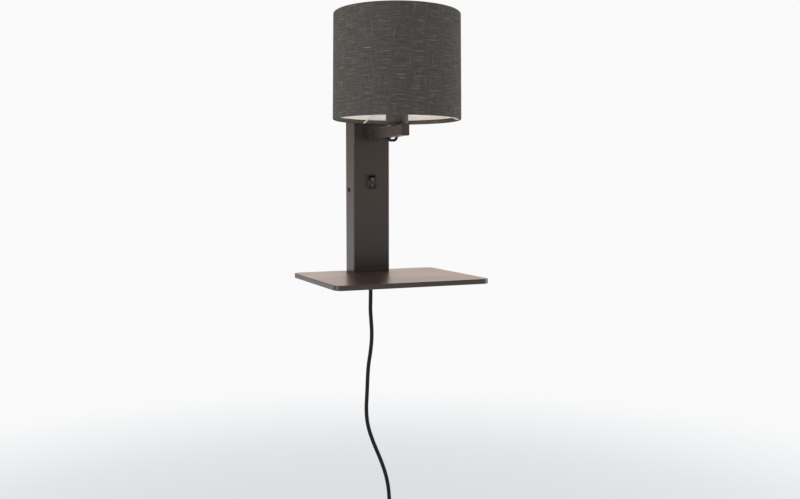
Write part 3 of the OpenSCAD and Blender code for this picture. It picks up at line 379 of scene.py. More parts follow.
# ---- Studio ----
# A pale floor that fades into a white surround. Wide lamps stand at both sides, so that the front
# is the dimmest, and one hangs above. Glossy surfaces mirror a surround that is warm above the
# horizon, and the bulb glows faintly, because the photograph shows warm light inside the shade.
floor_drop = 0.05
floor_size = 60.0
floor_near = (227, 231, 235)
floor_far = (250, 250, 250)
# What glossy surfaces mirror below and above the horizon, at the dim and at the pale side
low_dim = (0.64, 0.64, 0.64, 1)
low_pale = (1, 1, 1, 1)
high_dim = (0.32, 0.19, 0.13, 1)
high_pale = (1.42, 1.19, 1.05, 1)
fill_colour = (1, 0.985, 0.97, 1)


def share_shaders(tree, share, first, second):
    """A shader between two shader nodes, by a 0 to 1 share."""
    return add_node(tree, "MixShader", {0: share, 1: first.outputs[0], 2: second.outputs[0]})


def light_surround():
    """Camera, mirrored and diffuse rays each meet a surround of their own."""
    world = bpy.data.worlds.new("surround")
    world.use_nodes = True
    scene.world = world
    tree = world.node_tree
    tree.nodes.clear()
    paths = add_node(tree, "LightPath")
    direction = add_node(tree, "TexCoord").outputs["Generated"]
    split = add_node(tree, "SeparateXYZ", {"Vector": direction})
    depth = split.outputs["Y"]
    side = math_node(tree, "ADD", split.outputs["X"], split.outputs["Y"])
    pale_side = spread(tree, side, 0.0, 1.0, start=0.6, end=1.15, smooth=True)
    above = spread(tree, split.outputs["Z"], 0.0, 1.0, start=-0.01, end=0.08, smooth=True)
    low = blended(tree, pale_side, low_dim, low_pale)
    high = blended(tree, pale_side, high_dim, high_pale)
    around = blended(tree, above, low, high)
    mirrored = add_node(tree, "Background", {"Color": around, "Strength": 1.0})
    fill_level = spread(tree, depth, 0.10, 0.45, start=-0.8, end=0.6, smooth=True)
    fill = add_node(tree, "Background", {"Color": fill_colour, "Strength": fill_level})
    seen = add_node(tree, "Background", {"Color": linear(*floor_far), "Strength": 1.0})
    glossy, through = (paths.outputs[f"Is {kind} Ray"] for kind in ("Glossy", "Transmission"))
    sharp = math_node(tree, "ADD", glossy, through, clamp=True)
    lit = share_shaders(tree, sharp, fill, mirrored)
    final = share_shaders(tree, paths.outputs["Is Camera Ray"], lit, seen)
    add_node(tree, "OutputWorld", {"Surface": final.outputs[0]})


light_surround()


def make_floor():
    mesh = bpy.data.meshes.new("floor")
    half = floor_size / 2
    z = cad_box[0][2] - floor_drop
    corners = [(-half, -half, z), (half, -half, z), (half, half, z), (-half, half, z)]
    mesh.from_pydata(corners, [], [(0, 1, 2, 3)])
    floor = new_object("floor", mesh)
    material = bpy.data.materials.new("studio_floor")
    material.use_nodes = True
    tree = material.node_tree
    tree.nodes.clear()
    place = add_node(tree, "TexCoord").outputs["Object"]
    flat = vector_node(tree, "MULTIPLY", place, (1, 1, 0))
    away = vector_node(tree, "LENGTH", flat)
    faded = spread(tree, away, 0.0, 1.0, start=0.8, end=2.0, smooth=True)
    colour = blended(tree, faded, linear(*floor_near), linear(*floor_far))
    shown = add_node(tree, "Emission", {"Color": colour, "Strength": 1.0})
    lit = add_node(tree, "BsdfDiffuse", {"Color": colour})
    # Near the lamp part of the floor's brightness is real light, which keeps the shadow
    shadow_share = spread(tree, away, 0.30, 0.0, start=0.3, end=1.8, smooth=True)
    seen = share_shaders(tree, shadow_share, shown, lit)
    behind = add_node(tree, "NewGeometry").outputs["Backfacing"]
    final = share_shaders(tree, behind, seen, add_node(tree, "BsdfTransparent"))
    add_node(tree, "OutputMaterial", {"Surface": final.outputs[0]})
    dress(floor, material)


make_floor()


def new_lamp(name, kind, place, watts, tint, **settings):
    light = bpy.data.lights.new(name, kind)
    light.energy = watts
    light.color = tint
    for setting, value in settings.items():
        setattr(light, setting, value)
    lamp = new_object(name, light)
    lamp.location = place
    lamp.visible_camera = False
    return lamp


def soft_lamp(name, place, aim, width, height, watts, tint=(1, 1, 1)):
    lamp = new_lamp(name, "AREA", place, watts, tint, shape="RECTANGLE", size=width, size_y=height)
    lamp.rotation_euler = (Vector(aim) - Vector(place)).to_track_quat("-Z", "Y").to_euler()


lit_point = (0, -0.1, 0.05)
soft_lamp("left_lamp", (-2.35, -0.6, 0.4), lit_point, width=0.9, height=2.0, watts=26)
soft_lamp("right_lamp", (2.35, -0.9, 0.4), lit_point, width=0.9, height=2.0, watts=23)
soft_lamp("top_lamp", (0, 0.1, 2.3), (0, -0.1, 0.1), width=1.6, height=1.6, watts=26, tint=(1, 0.96, 0.92))


# A dim round light just outside the bulb's globe
globe_low, globe_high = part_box("bulb_globe")
glow = new_lamp(
    "bulb_glow", "POINT", (globe_low + globe_high) / 2, watts=1.25, tint=(1, 0.87, 0.75),
    shadow_soft_size=(globe_high.x - globe_low.x) / 2 + 0.001,
)
glow.visible_glossy = False

scene.view_settings.view_transform = "Standard"


# ---- Wall bracket ----
# A zinc-plated steel plate that is screwed to the wall, with bent ears, a top and a foot plate that
# the housing and the shelf are screwed to. It shows only from behind.
zinc = grained_material(
    "zinc_steel", (140, 143, 147), (178, 180, 182), rough=0.36, grains=700.0, relief=0.00002,
    metallic=1.0, blotches=90.0, rough_spread=0.12, edge_radius=0.0003,
)


def dress_nodes(material, *names):
    """Gives CAD nodes that keep their shape a material."""
    for name in names:
        dress(nodes[name], material)


dress_nodes(zinc, "wall_bracket")


# ---- Column ----
# A housing folded from steel sheet, in a dark bronze-grey powder coat with a fine orange peel. It
# slides over the bracket and is held by one screw at each side.
bronze_coat = grained_material(
    "bronze_coat", (54, 46, 43), (60, 51, 47), rough=0.31, grains=1100.0, relief=0.00003,
    blotches=14.0, rough_spread=0.03, edge_radius=0.0004, worn=(104, 88, 78),
)
dress_nodes(bronze_coat, "column_housing")

dark_screw = grained_material(
    "dark_screw", (42, 41, 40), (64, 62, 60), rough=0.34, grains=3000.0, relief=0.00001,
    metallic=0.85, edge_radius=0.0002, worn=(150, 146, 140),
)
dress_nodes(dark_screw, "side_screws")


# ---- Arm ----
# A rectangular steel tube in the same coat, pushed into a welded socket and fixed with a set screw.
# A cap closes its end, and a rubber grommet lines the slot that lets the lead out.
rubber = grained_material(
    "black_rubber", (17, 17, 17), (27, 27, 27), rough=0.62, grains=2800.0, relief=0.00004, blotches=80.0,
    edge_radius=0.0002,
)
dress_nodes(bronze_coat, "arm_socket", "arm_tube", "arm_end_cap")
dress_nodes(dark_screw, "arm_set_screw")
dress_nodes(rubber, "slot_grommet")


# ---- Lampholder ----
# A small screw-cap lampholder: a dark brown moulded body with a threaded skirt, a glazed ceramic
# core and brass contacts. A threaded tube and a nut clamp it to the arm.
holder_centre = Vector((0, holder_axis_y, 0))
cup_r = 0.0157
skirt_r = 0.0135
thread_pitch = 0.0023
thread_depth = 0.0005
cup_low, skirt_high = heights("lamp_holder")
core_low, core_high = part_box("holder_core")


def finish_mesh(bm, name, sharp_angle=40):
    """A piece from a bmesh, smooth except where its faces meet at more than the angle."""
    bmesh.ops.recalc_face_normals(bm, faces=bm.faces)
    mesh = bpy.data.meshes.new(name)
    bm.to_mesh(mesh)
    bm.free()
    for face in mesh.polygons:
        face.use_smooth = True
    mesh.set_sharp_from_angle(angle=math.radians(sharp_angle))
    return new_object(name, mesh)


def bridge(bm, first, second):
    """Faces between two rings of vertices; a ring of one vertex is a point."""
    n = max(len(first), len(second))
    for k in range(n):
        corners = []
        for vertex in (first[k % len(first)], first[(k + 1) % n % len(first)],
                       second[(k + 1) % n % len(second)], second[k % len(second)]):
            if vertex not in corners:
                corners.append(vertex)
        bm.faces.new(corners)


def turned_point(radius, angle, height):
    return Vector((radius * math.cos(angle), radius * math.sin(angle), height))


def whole_turn(steps):
    return [2 * math.pi * k / steps for k in range(steps)]


def turned(name, rows, around=96, shape=None, closed=True, centre=holder_centre):
    """A piece turned on an upright axis from rows of (radius, height)."""
    bm = bmesh.new()
    rings = []
    for radius, height in rows:
        ring = []
        for angle in whole_turn(around) if radius > 0 else [0.0]:
            r, z = shape(radius, height, angle) if shape else (radius, height)
            ring.append(bm.verts.new(centre + turned_point(r, angle, z)))
        rings.append(ring)
    for first, second in zip(rings, rings[1:]):
        bridge(bm, first, second)
    if closed:
        bridge(bm, rings[-1], rings[0])
    return finish_mesh(bm, name)


def arc(centre, radius, start, end, steps):
    """Points on an arc, by angles in degrees, in radius and height."""
    angles = (math.radians(start + (end - start) * k / steps) for k in range(steps + 1))
    return [(centre[0] + radius * math.cos(a), centre[1] + radius * math.sin(a)) for a in angles]


def holder_rows():
    """Outline of the body: cup with three grooves, shoulder, threaded skirt, bore and hub."""
    shoulder = heights("shade_ring_lower")[0] - 0.0001
    bore_r = core_high.x + 0.0001
    nipple_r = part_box("holder_nipple")[1].x + 0.00005
    hub_high = cup_low + 0.010
    low_round, high_round = 0.0025, 0.0004
    groove_r, groove_half, groove_step, plain_top = 0.0005, 0.0006, 0.0024, 0.0016
    rows = [(nipple_r, cup_low)]
    rows += arc((cup_r - low_round, cup_low + low_round), low_round, -90, 0, 8)
    for k in (3, 2, 1):
        middle = shoulder - plain_top - groove_step * k
        rows += [(cup_r, middle - groove_half)] + arc((cup_r + 0.0001, middle), groove_r, 260, 100, 6)
        rows += [(cup_r, middle + groove_half)]
    rows += arc((cup_r - high_round, shoulder - high_round), high_round, 0, 90, 3)
    rows += [(skirt_r - thread_depth, shoulder)]
    steps = round((skirt_high - shoulder - 0.001) / thread_pitch * 10)
    rows += [
        (skirt_r, shoulder + 0.0006 + (skirt_high - shoulder - 0.0014) * k / steps) for k in range(steps + 1)
    ]
    rows += [(skirt_r - thread_depth, skirt_high - 0.0002), (skirt_r - 0.0008, skirt_high)]
    rows += [(bore_r + 0.0003, skirt_high), (bore_r, skirt_high - 0.0003), (bore_r, core_low.z)]
    rows += [(bore_r - 0.0021, core_low.z), (bore_r - 0.0021, hub_high), (nipple_r, hub_high)]
    return rows


def skirt_thread(radius, height, angle):
    """Cuts the skirt's rows to a thread."""
    if radius != skirt_r:
        return radius, height
    wave = math.cos(2 * math.pi * height / thread_pitch - angle)
    return skirt_r - thread_depth * (0.5 - 0.5 * wave), height


holder_plastic = grained_material(
    "holder_plastic", (50, 42, 39), (62, 53, 49), rough=0.46, grains=2600.0, relief=0.00003, blotches=60.0
)
lamp_holder = turned("lamp_holder_body", holder_rows(), shape=skirt_thread)
declare(lamp_holder, holder_plastic, "holder_plastic", "lamp_holder")

glazed_ceramic = grained_material(
    "glazed_ceramic", (214, 208, 194), (229, 224, 212), rough=0.22, grains=500.0, relief=0.00004,
    blotches=120.0, edge_radius=0.0003,
)
brass = grained_material(
    "brass", (188, 147, 80), (212, 176, 108), rough=0.28, grains=3000.0, relief=0.00001, metallic=1.0,
    blotches=120.0, rough_spread=0.1, edge_radius=0.0001,
)
dress_nodes(glazed_ceramic, "holder_core")
dress_nodes(brass, "holder_shell", "centre_contact")
dress_nodes(zinc, "holder_nipple")
dress_nodes(dark_screw, "nipple_nut")


# ---- Clamp rings ----
# Two moulded rings, ribbed for the fingers, screw onto the lampholder's skirt from above. The
# shade's flat ring lies between them.
rib_count = 30
rib_depth = 0.0005
flange_r = 0.0168
grip_r = 0.0153
flange_h = 0.0016


def clamp_rows(low, high, flange_low):
    """Rows of one ring; its wider flange is the end that faces the shade's ring."""
    bore = skirt_r + 0.00005
    grip = [low + (high - flange_h - low) * share for share in (0.06, 0.14, 0.5, 0.86, 1.0)]
    rows = [(bore, low), (grip_r - 0.0004, low)] + [(grip_r, z) for z in grip]
    rows += [(flange_r - 0.0003, high - flange_h), (flange_r, high - flange_h + 0.0003)]
    rows += [(flange_r, high - 0.0003), (flange_r - 0.0003, high), (bore, high)]
    return [(r, low + high - z) for r, z in reversed(rows)] if flange_low else rows


def ribbed(radius, height, angle):
    if radius != grip_r:
        return radius, height
    wave = math.cos(rib_count * angle)
    return grip_r - rib_depth * max(wave, -0.3), height


for node in ("shade_ring_lower", "shade_ring_upper"):
    rows = clamp_rows(*heights(node), flange_low=node.endswith("upper"))
    ring = turned(node + "_ribbed", rows, around=240, shape=ribbed)
    declare(ring, holder_plastic, "holder_plastic", node)


# ---- Shade frame ----
# White coated steel wire: a ring in each rim, and three bent spokes that carry a flat ring for the
# lampholder. The spokes are welded to the lower rim's wire.
shade_low_z, shade_high_z = heights("shade_cover")
shade_sides = 192
shade_low_r = 0.090
shade_high_r = 0.0885
wire_r = 0.0012
spoke_r = 0.00105
roll_r = 0.0017
spoke_foot = 0.004
first_spoke = math.radians(101)
flat_ring_low, flat_ring_high = 0.1312, 0.1328
flat_ring_r = 0.019
flat_ring_bore = 0.0138


def wall_r(height):
    """Outside radius of the shade's wall at a height."""
    share = (height - shade_low_z) / (shade_high_z - shade_low_z)
    return shade_low_r + (shade_high_r - shade_low_r) * share


def out_of_round(radius, height, angle):
    """The shade is a little out of round, as a glued and hand-rolled one is."""
    lean = (height - shade_low_z) / (shade_high_z - shade_low_z)
    wave = 0.00016 * math.sin(2 * angle + 0.7) + 0.00008 * math.sin(5 * angle + 2.1 + lean)
    return radius + wave, height


def rim_centre(height):
    return wall_r(height) - roll_r, height


def rim_wire(name, height):
    return turned(name, arc(rim_centre(height), wire_r, 0, 330, 11), shade_sides, out_of_round)


def skin(bm, rings, closed=False):
    """Faces along a row of rings; a row that isn't closed gets end faces."""
    for first, second in zip(rings, rings[1:] + (rings[:1] if closed else [])):
        bridge(bm, first, second)
    if not closed:
        for end in (rings[0], rings[-1]):
            bm.faces.new(end)


def absorb(bm, *parts):
    """Takes over the faces of pieces that are parts of a larger one."""
    for part in parts:
        bm.from_mesh(part.data)
        bpy.data.objects.remove(part)


def swept(bm, points, radius, sides=12):
    """A round bar along points, with closed ends."""
    rings = []
    side = None
    for i, point in enumerate(points):
        ahead = (points[min(i + 1, len(points) - 1)] - points[max(i - 1, 0)]).normalized()
        start = side or ahead.orthogonal()
        side = (start - ahead * start.dot(ahead)).normalized()
        up = ahead.cross(side)
        rings.append([
            bm.verts.new(point + radius * (math.cos(a) * side + math.sin(a) * up)) for a in whole_turn(sides)
        ])
    skin(bm, rings)


def spoke_points(angle):
    """Out of the rim's wire, inwards, round a bend and up to the flat ring."""
    out_r, low = rim_centre(shade_low_z + roll_r)
    foot = out_r - spoke_foot
    top_r = flat_ring_r - 0.001
    high = (flat_ring_low + flat_ring_high) / 2
    slope = Vector((top_r - foot, high - low)).normalized()
    bend, bend_steps = 0.0026, 8
    path = [Vector((out_r, low)), Vector((foot + bend, low))]
    for k in range(1, bend_steps):
        t = k / bend_steps
        path.append(Vector((foot, low)) + (1 - t) ** 2 * Vector((bend, 0)) + t ** 2 * bend * slope)
    path.append(Vector((foot, low)) + bend * slope)
    path += [Vector((top_r, high)) - left * slope for left in (0.004, 0.0006)]
    return [holder_centre + turned_point(p.x, angle, p.y) for p in path]


def shade_frame():
    """The lower rim's wire, the spokes and the flat ring, as one welded frame."""
    e = 0.0003
    washer = [(flat_ring_bore, flat_ring_low + e), (flat_ring_bore + e, flat_ring_low)]
    washer += [(flat_ring_r - e, flat_ring_low), (flat_ring_r, flat_ring_low + e)]
    washer += [(flat_ring_r, flat_ring_high - e), (flat_ring_r - e, flat_ring_high)]
    washer += [(flat_ring_bore + e, flat_ring_high), (flat_ring_bore, flat_ring_high - e)]
    bm = bmesh.new()
    absorb(bm, rim_wire("rim_wire", shade_low_z + roll_r), turned("flat_ring", washer))
    for k in range(3):
        swept(bm, spoke_points(first_spoke + math.radians(120) * k), spoke_r)
    return finish_mesh(bm, "shade_wire_frame")


white_coat = grained_material(
    "white_coat", (222, 219, 210), (233, 231, 224), rough=0.36, grains=1800.0, relief=0.00003, blotches=60.0
)
wire_frame = declare(shade_frame(), white_coat, "white_wire", "shade_fitter")
top_wire = rim_wire("top_rim_wire", shade_high_z - roll_r)
declare(top_wire, white_coat, "white_wire", "shade_top_ring")


# ---- Shade lining ----
# A stiff white plastic sheet, 0.5 mm thick, which the fabric is glued to. It gives the drum its
# shape and reflects the light.
lining_inset = 0.0007
lining_t = 0.0005
lining_gap = 0.0036
lining_rows = []
upwards = (0, 0.25, 0.5, 0.75, 1)
for inset, shares in ((lining_inset, upwards), (lining_inset + lining_t, upwards[::-1])):
    for share in shares:
        z = shade_low_z + lining_gap + (shade_high_z - shade_low_z - 2 * lining_gap) * share
        lining_rows.append((wall_r(z) - inset, z))
white_lining = grained_material(
    "white_lining", (240, 236, 232), (247, 243, 239), rough=0.5, grains=1600.0, relief=0.00002, blotches=18.0
)
lining = turned("shade_lining_sheet", lining_rows, shade_sides, out_of_round)
declare(lining, white_lining, "white_lining", "shade_lining")


# ---- Shade fabric ----
# Grey-brown linen in a plain weave with thick slub threads, mostly across. It is glued round the
# lining, lapped over itself at the back, and turned in over the wire at both rims.
cloth_t = 0.0006
cloth_side_share = 0.42
lap_w = 0.012
lap_rise = 0.0005
lap_edge = 0.0004
lap_fade = 0.002
yarn_pitch = 0.00052
cloth_columns = 288
wall_steps = 36
around_length = 2 * math.pi * shade_low_r


def cloth_line():
    """Middle line of the cloth in radius and height: hem, rim, wall, rim and hem."""
    rim_h, wall_inset, wrap_r = 0.0034, 0.0003, 0.00147
    lower = [(-0.0016, 0.0060), (-0.0016, 0.0050), (-0.00165, 0.0044), (-0.0018, 0.0039)]
    lower += [(-0.0021, 0.00345), (-0.0025, 0.0031)]
    lower += arc((-roll_r, roll_r), wrap_r, 140, 360, 16)
    lower += [(-0.00026, 0.0024), (-wall_inset, rim_h)]
    line = [(wall_r(shade_low_z + up) + inwards, shade_low_z + up) for inwards, up in lower]
    wall_low, wall_high = shade_low_z + rim_h, shade_high_z - rim_h
    for k in range(1, wall_steps):
        z = wall_low + (wall_high - wall_low) * k / wall_steps
        line.append((wall_r(z) - wall_inset, z))
    line += [(wall_r(shade_high_z - up) + inwards, shade_high_z - up) for inwards, up in reversed(lower)]
    return [Vector(point) for point in line]


def cloth_sides(line):
    """The cloth's two faces, as points beside its middle line, with the length along it."""
    outer, inner, along = [], [], [0.0]
    for i, point in enumerate(line):
        ahead = (line[min(i + 1, len(line) - 1)] - line[max(i - 1, 0)]).normalized()
        across = Vector((ahead.y, -ahead.x)) * cloth_t * cloth_side_share
        outer.append(point + across)
        inner.append(point - across)
        if i:
            along.append(along[-1] + (point - line[i - 1]).length)
    return outer, inner, along


def cloth_places():
    """Lengths round the shade from the lap's free edge, closer together at the lap."""
    even = [around_length * k / cloth_columns for k in range(cloth_columns)]
    lap = {lap_edge, lap_w - lap_fade, lap_w, around_length - 0.0003}
    clear = 0.001
    return sorted({u for u in even if u == 0 or lap_w + clear < u < around_length - clear} | lap)


def make_cloth():
    line = cloth_line()
    outer, inner, along = cloth_sides(line)
    loop = outer + inner[::-1]
    lengths = along + along[::-1]
    places = cloth_places()
    outer_zone = 0.0009
    bm = bmesh.new()
    cloth_map = bm.loops.layers.uv.new("cloth")
    columns = []
    for u in places:
        angle = math.pi / 2 + u / shade_low_r
        on_lap = min(u / lap_edge, 1) * min(max((lap_w - u) / lap_fade, 0), 1)
        column = []
        for x, z in loop:
            r = out_of_round(x, z, angle)[0]
            if x > wall_r(z) - outer_zone:
                r += lap_rise * on_lap
            column.append(bm.verts.new(holder_centre + turned_point(r, angle, z)))
        columns.append(column)
    count = len(loop)
    for i, u in enumerate(places):
        next_u = places[i + 1] if i + 1 < len(places) else around_length
        here, there = columns[i], columns[(i + 1) % len(places)]
        for k in range(count):
            m = (k + 1) % count
            face = bm.faces.new((here[k], there[k], there[m], here[m]))
            for corner, (a, b) in zip(face.loops, ((u, k), (next_u, k), (next_u, m), (u, m))):
                corner[cloth_map].uv = (a, lengths[b])
    return finish_mesh(bm, "shade_linen", 50), along[-1]


def build_linen_weave():
    """Plain weave of uneven yarns, from a place on the cloth in metres."""
    group, given, out = new_group(
        "linen_weave",
        {"Place": (VECTOR, None), "Yarn pitch": (NUMBER, yarn_pitch)},
        {"Height": NUMBER, "Tone": NUMBER, "Slub": NUMBER},
    )
    place = given.outputs["Place"]
    wander = noise(group, place, scale=130.0, detail=1.0)["Color"]
    shift = vector_node(group, "MULTIPLY", wander, (0.0006, 0.0006, 0.0))
    split = add_node(group, "SeparateXYZ", {"Vector": vector_node(group, "ADD", place, shift)})

    def yarn_wave(length):
        turns = math_node(group, "DIVIDE", length, given.outputs["Yarn pitch"])
        return math_node(group, "SINE", math_node(group, "MULTIPLY", turns, math.pi))

    def streaks(scale_across, scale_up, detail):
        stretched = vector_node(group, "MULTIPLY", place, (scale_across, scale_up, 1))
        return noise(group, stretched, scale=1.0, detail=detail, roughness=0.6)["Fac"]

    def joined(first, share, second):
        parts = (math_node(group, "MULTIPLY", *part) for part in ((first, share), (second, 1 - share)))
        return math_node(group, "ADD", *parts)

    warp = yarn_wave(split.outputs["X"])
    weft = yarn_wave(split.outputs["Y"])
    crossing = math_node(group, "MULTIPLY", warp, weft)
    over = math_node(group, "MULTIPLY_ADD", crossing, 0.5, 0.5)
    under = math_node(group, "SUBTRACT", 1.0, over)
    weft_run = streaks(42.0, 900.0, 2.0)
    warp_run = streaks(900.0, 30.0, 2.0)
    weft_slub = spread(group, weft_run, 0.0, 1.0, start=0.60, end=0.74, smooth=True)
    warp_slub = spread(group, warp_run, 0.0, 0.6, start=0.62, end=0.76, smooth=True)
    slub = math_node(group, "MAXIMUM", weft_slub, warp_slub)
    warp_height = math_node(group, "MULTIPLY", math_node(group, "ABSOLUTE", warp), over)
    weft_height = math_node(group, "MULTIPLY", math_node(group, "ABSOLUTE", weft), under)
    weave = math_node(group, "MAXIMUM", warp_height, weft_height)
    height = math_node(group, "MULTIPLY_ADD", slub, 0.9, weave)
    tone = joined(joined(weft_run, 0.62, warp_run), 0.75, streaks(260.0, 300.0, 3.0))
    wide_tone = spread(group, tone, 0.0, 1.0, start=0.34, end=0.66)
    connect(group, out, {"Height": height, "Tone": wide_tone, "Slub": slub})
    return group


def linen_material():
    material, tree, shader = new_material("shade_linen", (92, 88, 84))
    place = add_node(tree, "UVMap", uv_map="cloth").outputs["UV"]
    weave = use_group(tree, build_linen_weave(), {"Place": place, "Yarn pitch": yarn_pitch}).outputs
    yarn = blended(tree, weave["Tone"], linear(72, 68, 64), linear(108, 104, 100))
    slubbed = blended(tree, weave["Slub"], yarn, linear(140, 135, 130))
    # Painted shade: the base colour darkens towards near-black in the weave's low places, between the yarns
    hollow = spread(tree, weave["Height"], 0.62, 1.0, start=0.1, end=0.7)
    bump = add_node(tree, "Bump", {"Height": weave["Height"], "Distance": 0.00018})
    connect(tree, shader, {
        "Base Color": blended(tree, hollow, linear(34, 31, 29), slubbed),
        "Roughness": spread(tree, weave["Tone"], 0.95, 0.8), "Normal": bump.outputs["Normal"],
        "Specular IOR Level": 0.2,
    })
    return material


shade_linen, cloth_length = make_cloth()
declare(shade_linen, linen_material(), "shade_fabric", "shade_cover")


# ---- Bulb ----
# A small opal globe bulb with a white collar over its electronics, an aluminium screw cap with a
# rolled thread, black glass under it and a soldered tip.
cap_low, cap_high = heights("bulb_cap")
cap_core_r = 0.00645
cap_thread_r = 0.00695
cap_pitch = 0.0028
cap_rows = [(0, cap_low), (0.0055, cap_low), (cap_core_r, cap_low + 0.0012)]
cap_rows += [(cap_thread_r, cap_low + 0.0015 + 0.00035 * k) for k in range(42)]
cap_rows += [(cap_core_r, cap_high - 0.0034), (cap_thread_r - 0.0001, cap_high - 0.003)]
cap_rows += [(cap_thread_r - 0.0001, cap_high), (cap_core_r - 0.0004, cap_high)]
cap_rows += [(cap_core_r - 0.0004, cap_low + 0.0008), (0, cap_low + 0.0008)]


def cap_thread(radius, height, angle):
    if radius != cap_thread_r:
        return radius, height
    wave = 0.5 + 0.5 * math.cos(2 * math.pi * height / cap_pitch - angle)
    return cap_core_r + (cap_thread_r - cap_core_r) * wave, height


bulb_metal = grained_material(
    "bulb_metal", (176, 177, 178), (206, 206, 206), rough=0.26, grains=2600.0, relief=0.00001, metallic=1.0,
    blotches=150.0, rough_spread=0.1,
)
bulb_cap = turned("bulb_screw_cap", cap_rows, shape=cap_thread, closed=False)
declare(bulb_cap, bulb_metal, "bulb_metal", "bulb_cap")

black_glass = grained_material(
    "black_glass", (10, 10, 12), (16, 16, 18), rough=0.12, grains=300.0, relief=0.00002, blotches=200.0
)
opal_glass = grained_material(
    "opal_glass", (236, 235, 230), (243, 242, 238), rough=0.16, grains=60.0, relief=0.00005, blotches=30.0
)
white_plastic = grained_material(
    "white_plastic", (224, 223, 218), (233, 232, 228), rough=0.34, grains=2400.0, relief=0.00002,
    blotches=70.0, edge_radius=0.0003,
)
dress_nodes(bulb_metal, "bulb_tip")
dress_nodes(black_glass, "bulb_insulator")
dress_nodes(opal_glass, "bulb_globe")
dress_nodes(white_plastic, "bulb_collar")


# ---- Switch ----
# A dark rocker switch snapped into the column's front: a frame with a raised rim, and a rocker in
# two slightly hollow faces with O and I moulded in white. The rocker is the part that moves.
switch_plastic = grained_material(
    "switch_plastic", (22, 19, 18), (29, 25, 24), rough=0.36, grains=2600.0, relief=0.00003, blotches=70.0,
    edge_radius=0.0003, worn=(104, 92, 86),
)
frame_low, frame_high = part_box("switch_frame")
switch_centre = Vector((0, 0, (frame_low.z + frame_high.z) / 2))
column_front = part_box("column_housing")[0].y
frame_w = 0.0155
frame_h = 0.0210
switch_body_w = 0.0128
switch_body_h = 0.0190
well_w = 0.0110
well_h = 0.01802


def rounded_outline(width, height, corner, steps=5):
    """Points round a rectangle with round corners, across and up."""
    points = []
    for start, sx, sy in ((0, 1, 1), (90, -1, 1), (180, -1, -1), (270, 1, -1)):
        middle = (sx * (width / 2 - corner), sy * (height / 2 - corner))
        points += arc(middle, corner, start, start + 90, steps)
    return points


def make_switch_frame():
    """Rounded rectangles from the well's inside over the rim to the body behind the sheet."""
    front = frame_low.y
    back = frame_high.y
    sheet_front = column_front - 0.00002
    inner_round, outer_round = 0.0008, 0.0010
    well_corner, lip_corner, rim_corner = 0.0004, 0.0006, 0.0012
    loops = [(well_w, well_h, well_corner, back), (well_w, well_h, well_corner, front + inner_round)]
    for angle in (30, 60, 90):
        a = math.radians(angle)
        out = inner_round * (1 - math.cos(a))
        loops.append((well_w + out, well_h + out, lip_corner, front + inner_round / 2 * (1 - math.sin(a))))
    for angle in (0, 30, 60, 90):
        a = math.radians(angle)
        cut = outer_round * (1 - math.sin(a))
        loops.append((frame_w - cut, frame_h - cut, rim_corner, front + outer_round / 2 * (1 - math.cos(a))))
    loops.append((frame_w, frame_h, rim_corner, sheet_front))
    loops += [(switch_body_w, switch_body_h, well_corner, y) for y in (sheet_front, back)]
    bm = bmesh.new()
    skin(bm, [
        [bm.verts.new(switch_centre + Vector((x, y, z))) for x, z in rounded_outline(w, h, corner)]
        for w, h, corner, y in loops
    ], closed=True)
    return finish_mesh(bm, "switch_rim", 35)


declare(make_switch_frame(), switch_plastic, "black_plastic", "switch_frame")

pivot = Vector((0, -0.0315, switch_centre.z))
rest_tilt = math.radians(11)
rocker_w = 0.0108
rocker_half = 0.0081
valley = 0.0032
tip = valley + rocker_half * math.tan(rest_tilt)
face_hollow = 0.00022
rocker_place = Matrix.Translation(pivot) @ Matrix.Rotation(rest_tilt, 4, "X")


def rocker_front(height):
    """How far the rocker's front stands before its pivot, at a height along it."""
    share = abs(height) / rocker_half
    return valley + (tip - valley) * share - face_hollow * 4 * share * (1 - share)


def make_rocker():
    """Its outline between two ends, with its edges rounded from 0.6 radians on, and its axle."""
    edge_round = 0.0004
    sharp_from = 0.6
    axle_r, axle_out, axle_sides = 0.0012, 0.0007, 20
    outline = [(-rocker_front(rocker_half * k / 12), rocker_half * k / 12) for k in range(-12, 13)]
    outline += [(0.001, 0.0076), (0.0026, 0.0015), (0.0026, -0.0015), (0.001, -0.0076)]
    bm = bmesh.new()
    ends = [[bm.verts.new((side * rocker_w / 2, y, z)) for y, z in outline] for side in (-1, 1)]
    bridge(bm, *ends)
    rims = [bm.faces.new(end) for end in ends]
    bmesh.ops.recalc_face_normals(bm, faces=bm.faces)
    rounded = [
        edge for edge in bm.edges
        if edge.calc_face_angle(0) > sharp_from or any(face in rims for face in edge.link_faces)
    ]
    bmesh.ops.bevel(bm, geom=rounded, offset=edge_round, segments=3, profile=0.5, affect="EDGES")
    swept(bm, [Vector((side * (rocker_w / 2 + axle_out), 0, 0)) for side in (-1, 1)], axle_r, axle_sides)
    # The bevel leaves its faces in an order that changes from run to run
    bm.verts.index_update()
    in_order = sorted(bm.faces, key=lambda face: [corner.index for corner in face.verts])
    ranks = {face: rank for rank, face in enumerate(in_order)}
    bm.faces.sort(key=ranks.get)
    bm.transform(rocker_place)
    return finish_mesh(bm, "switch_rocker_key", 35)


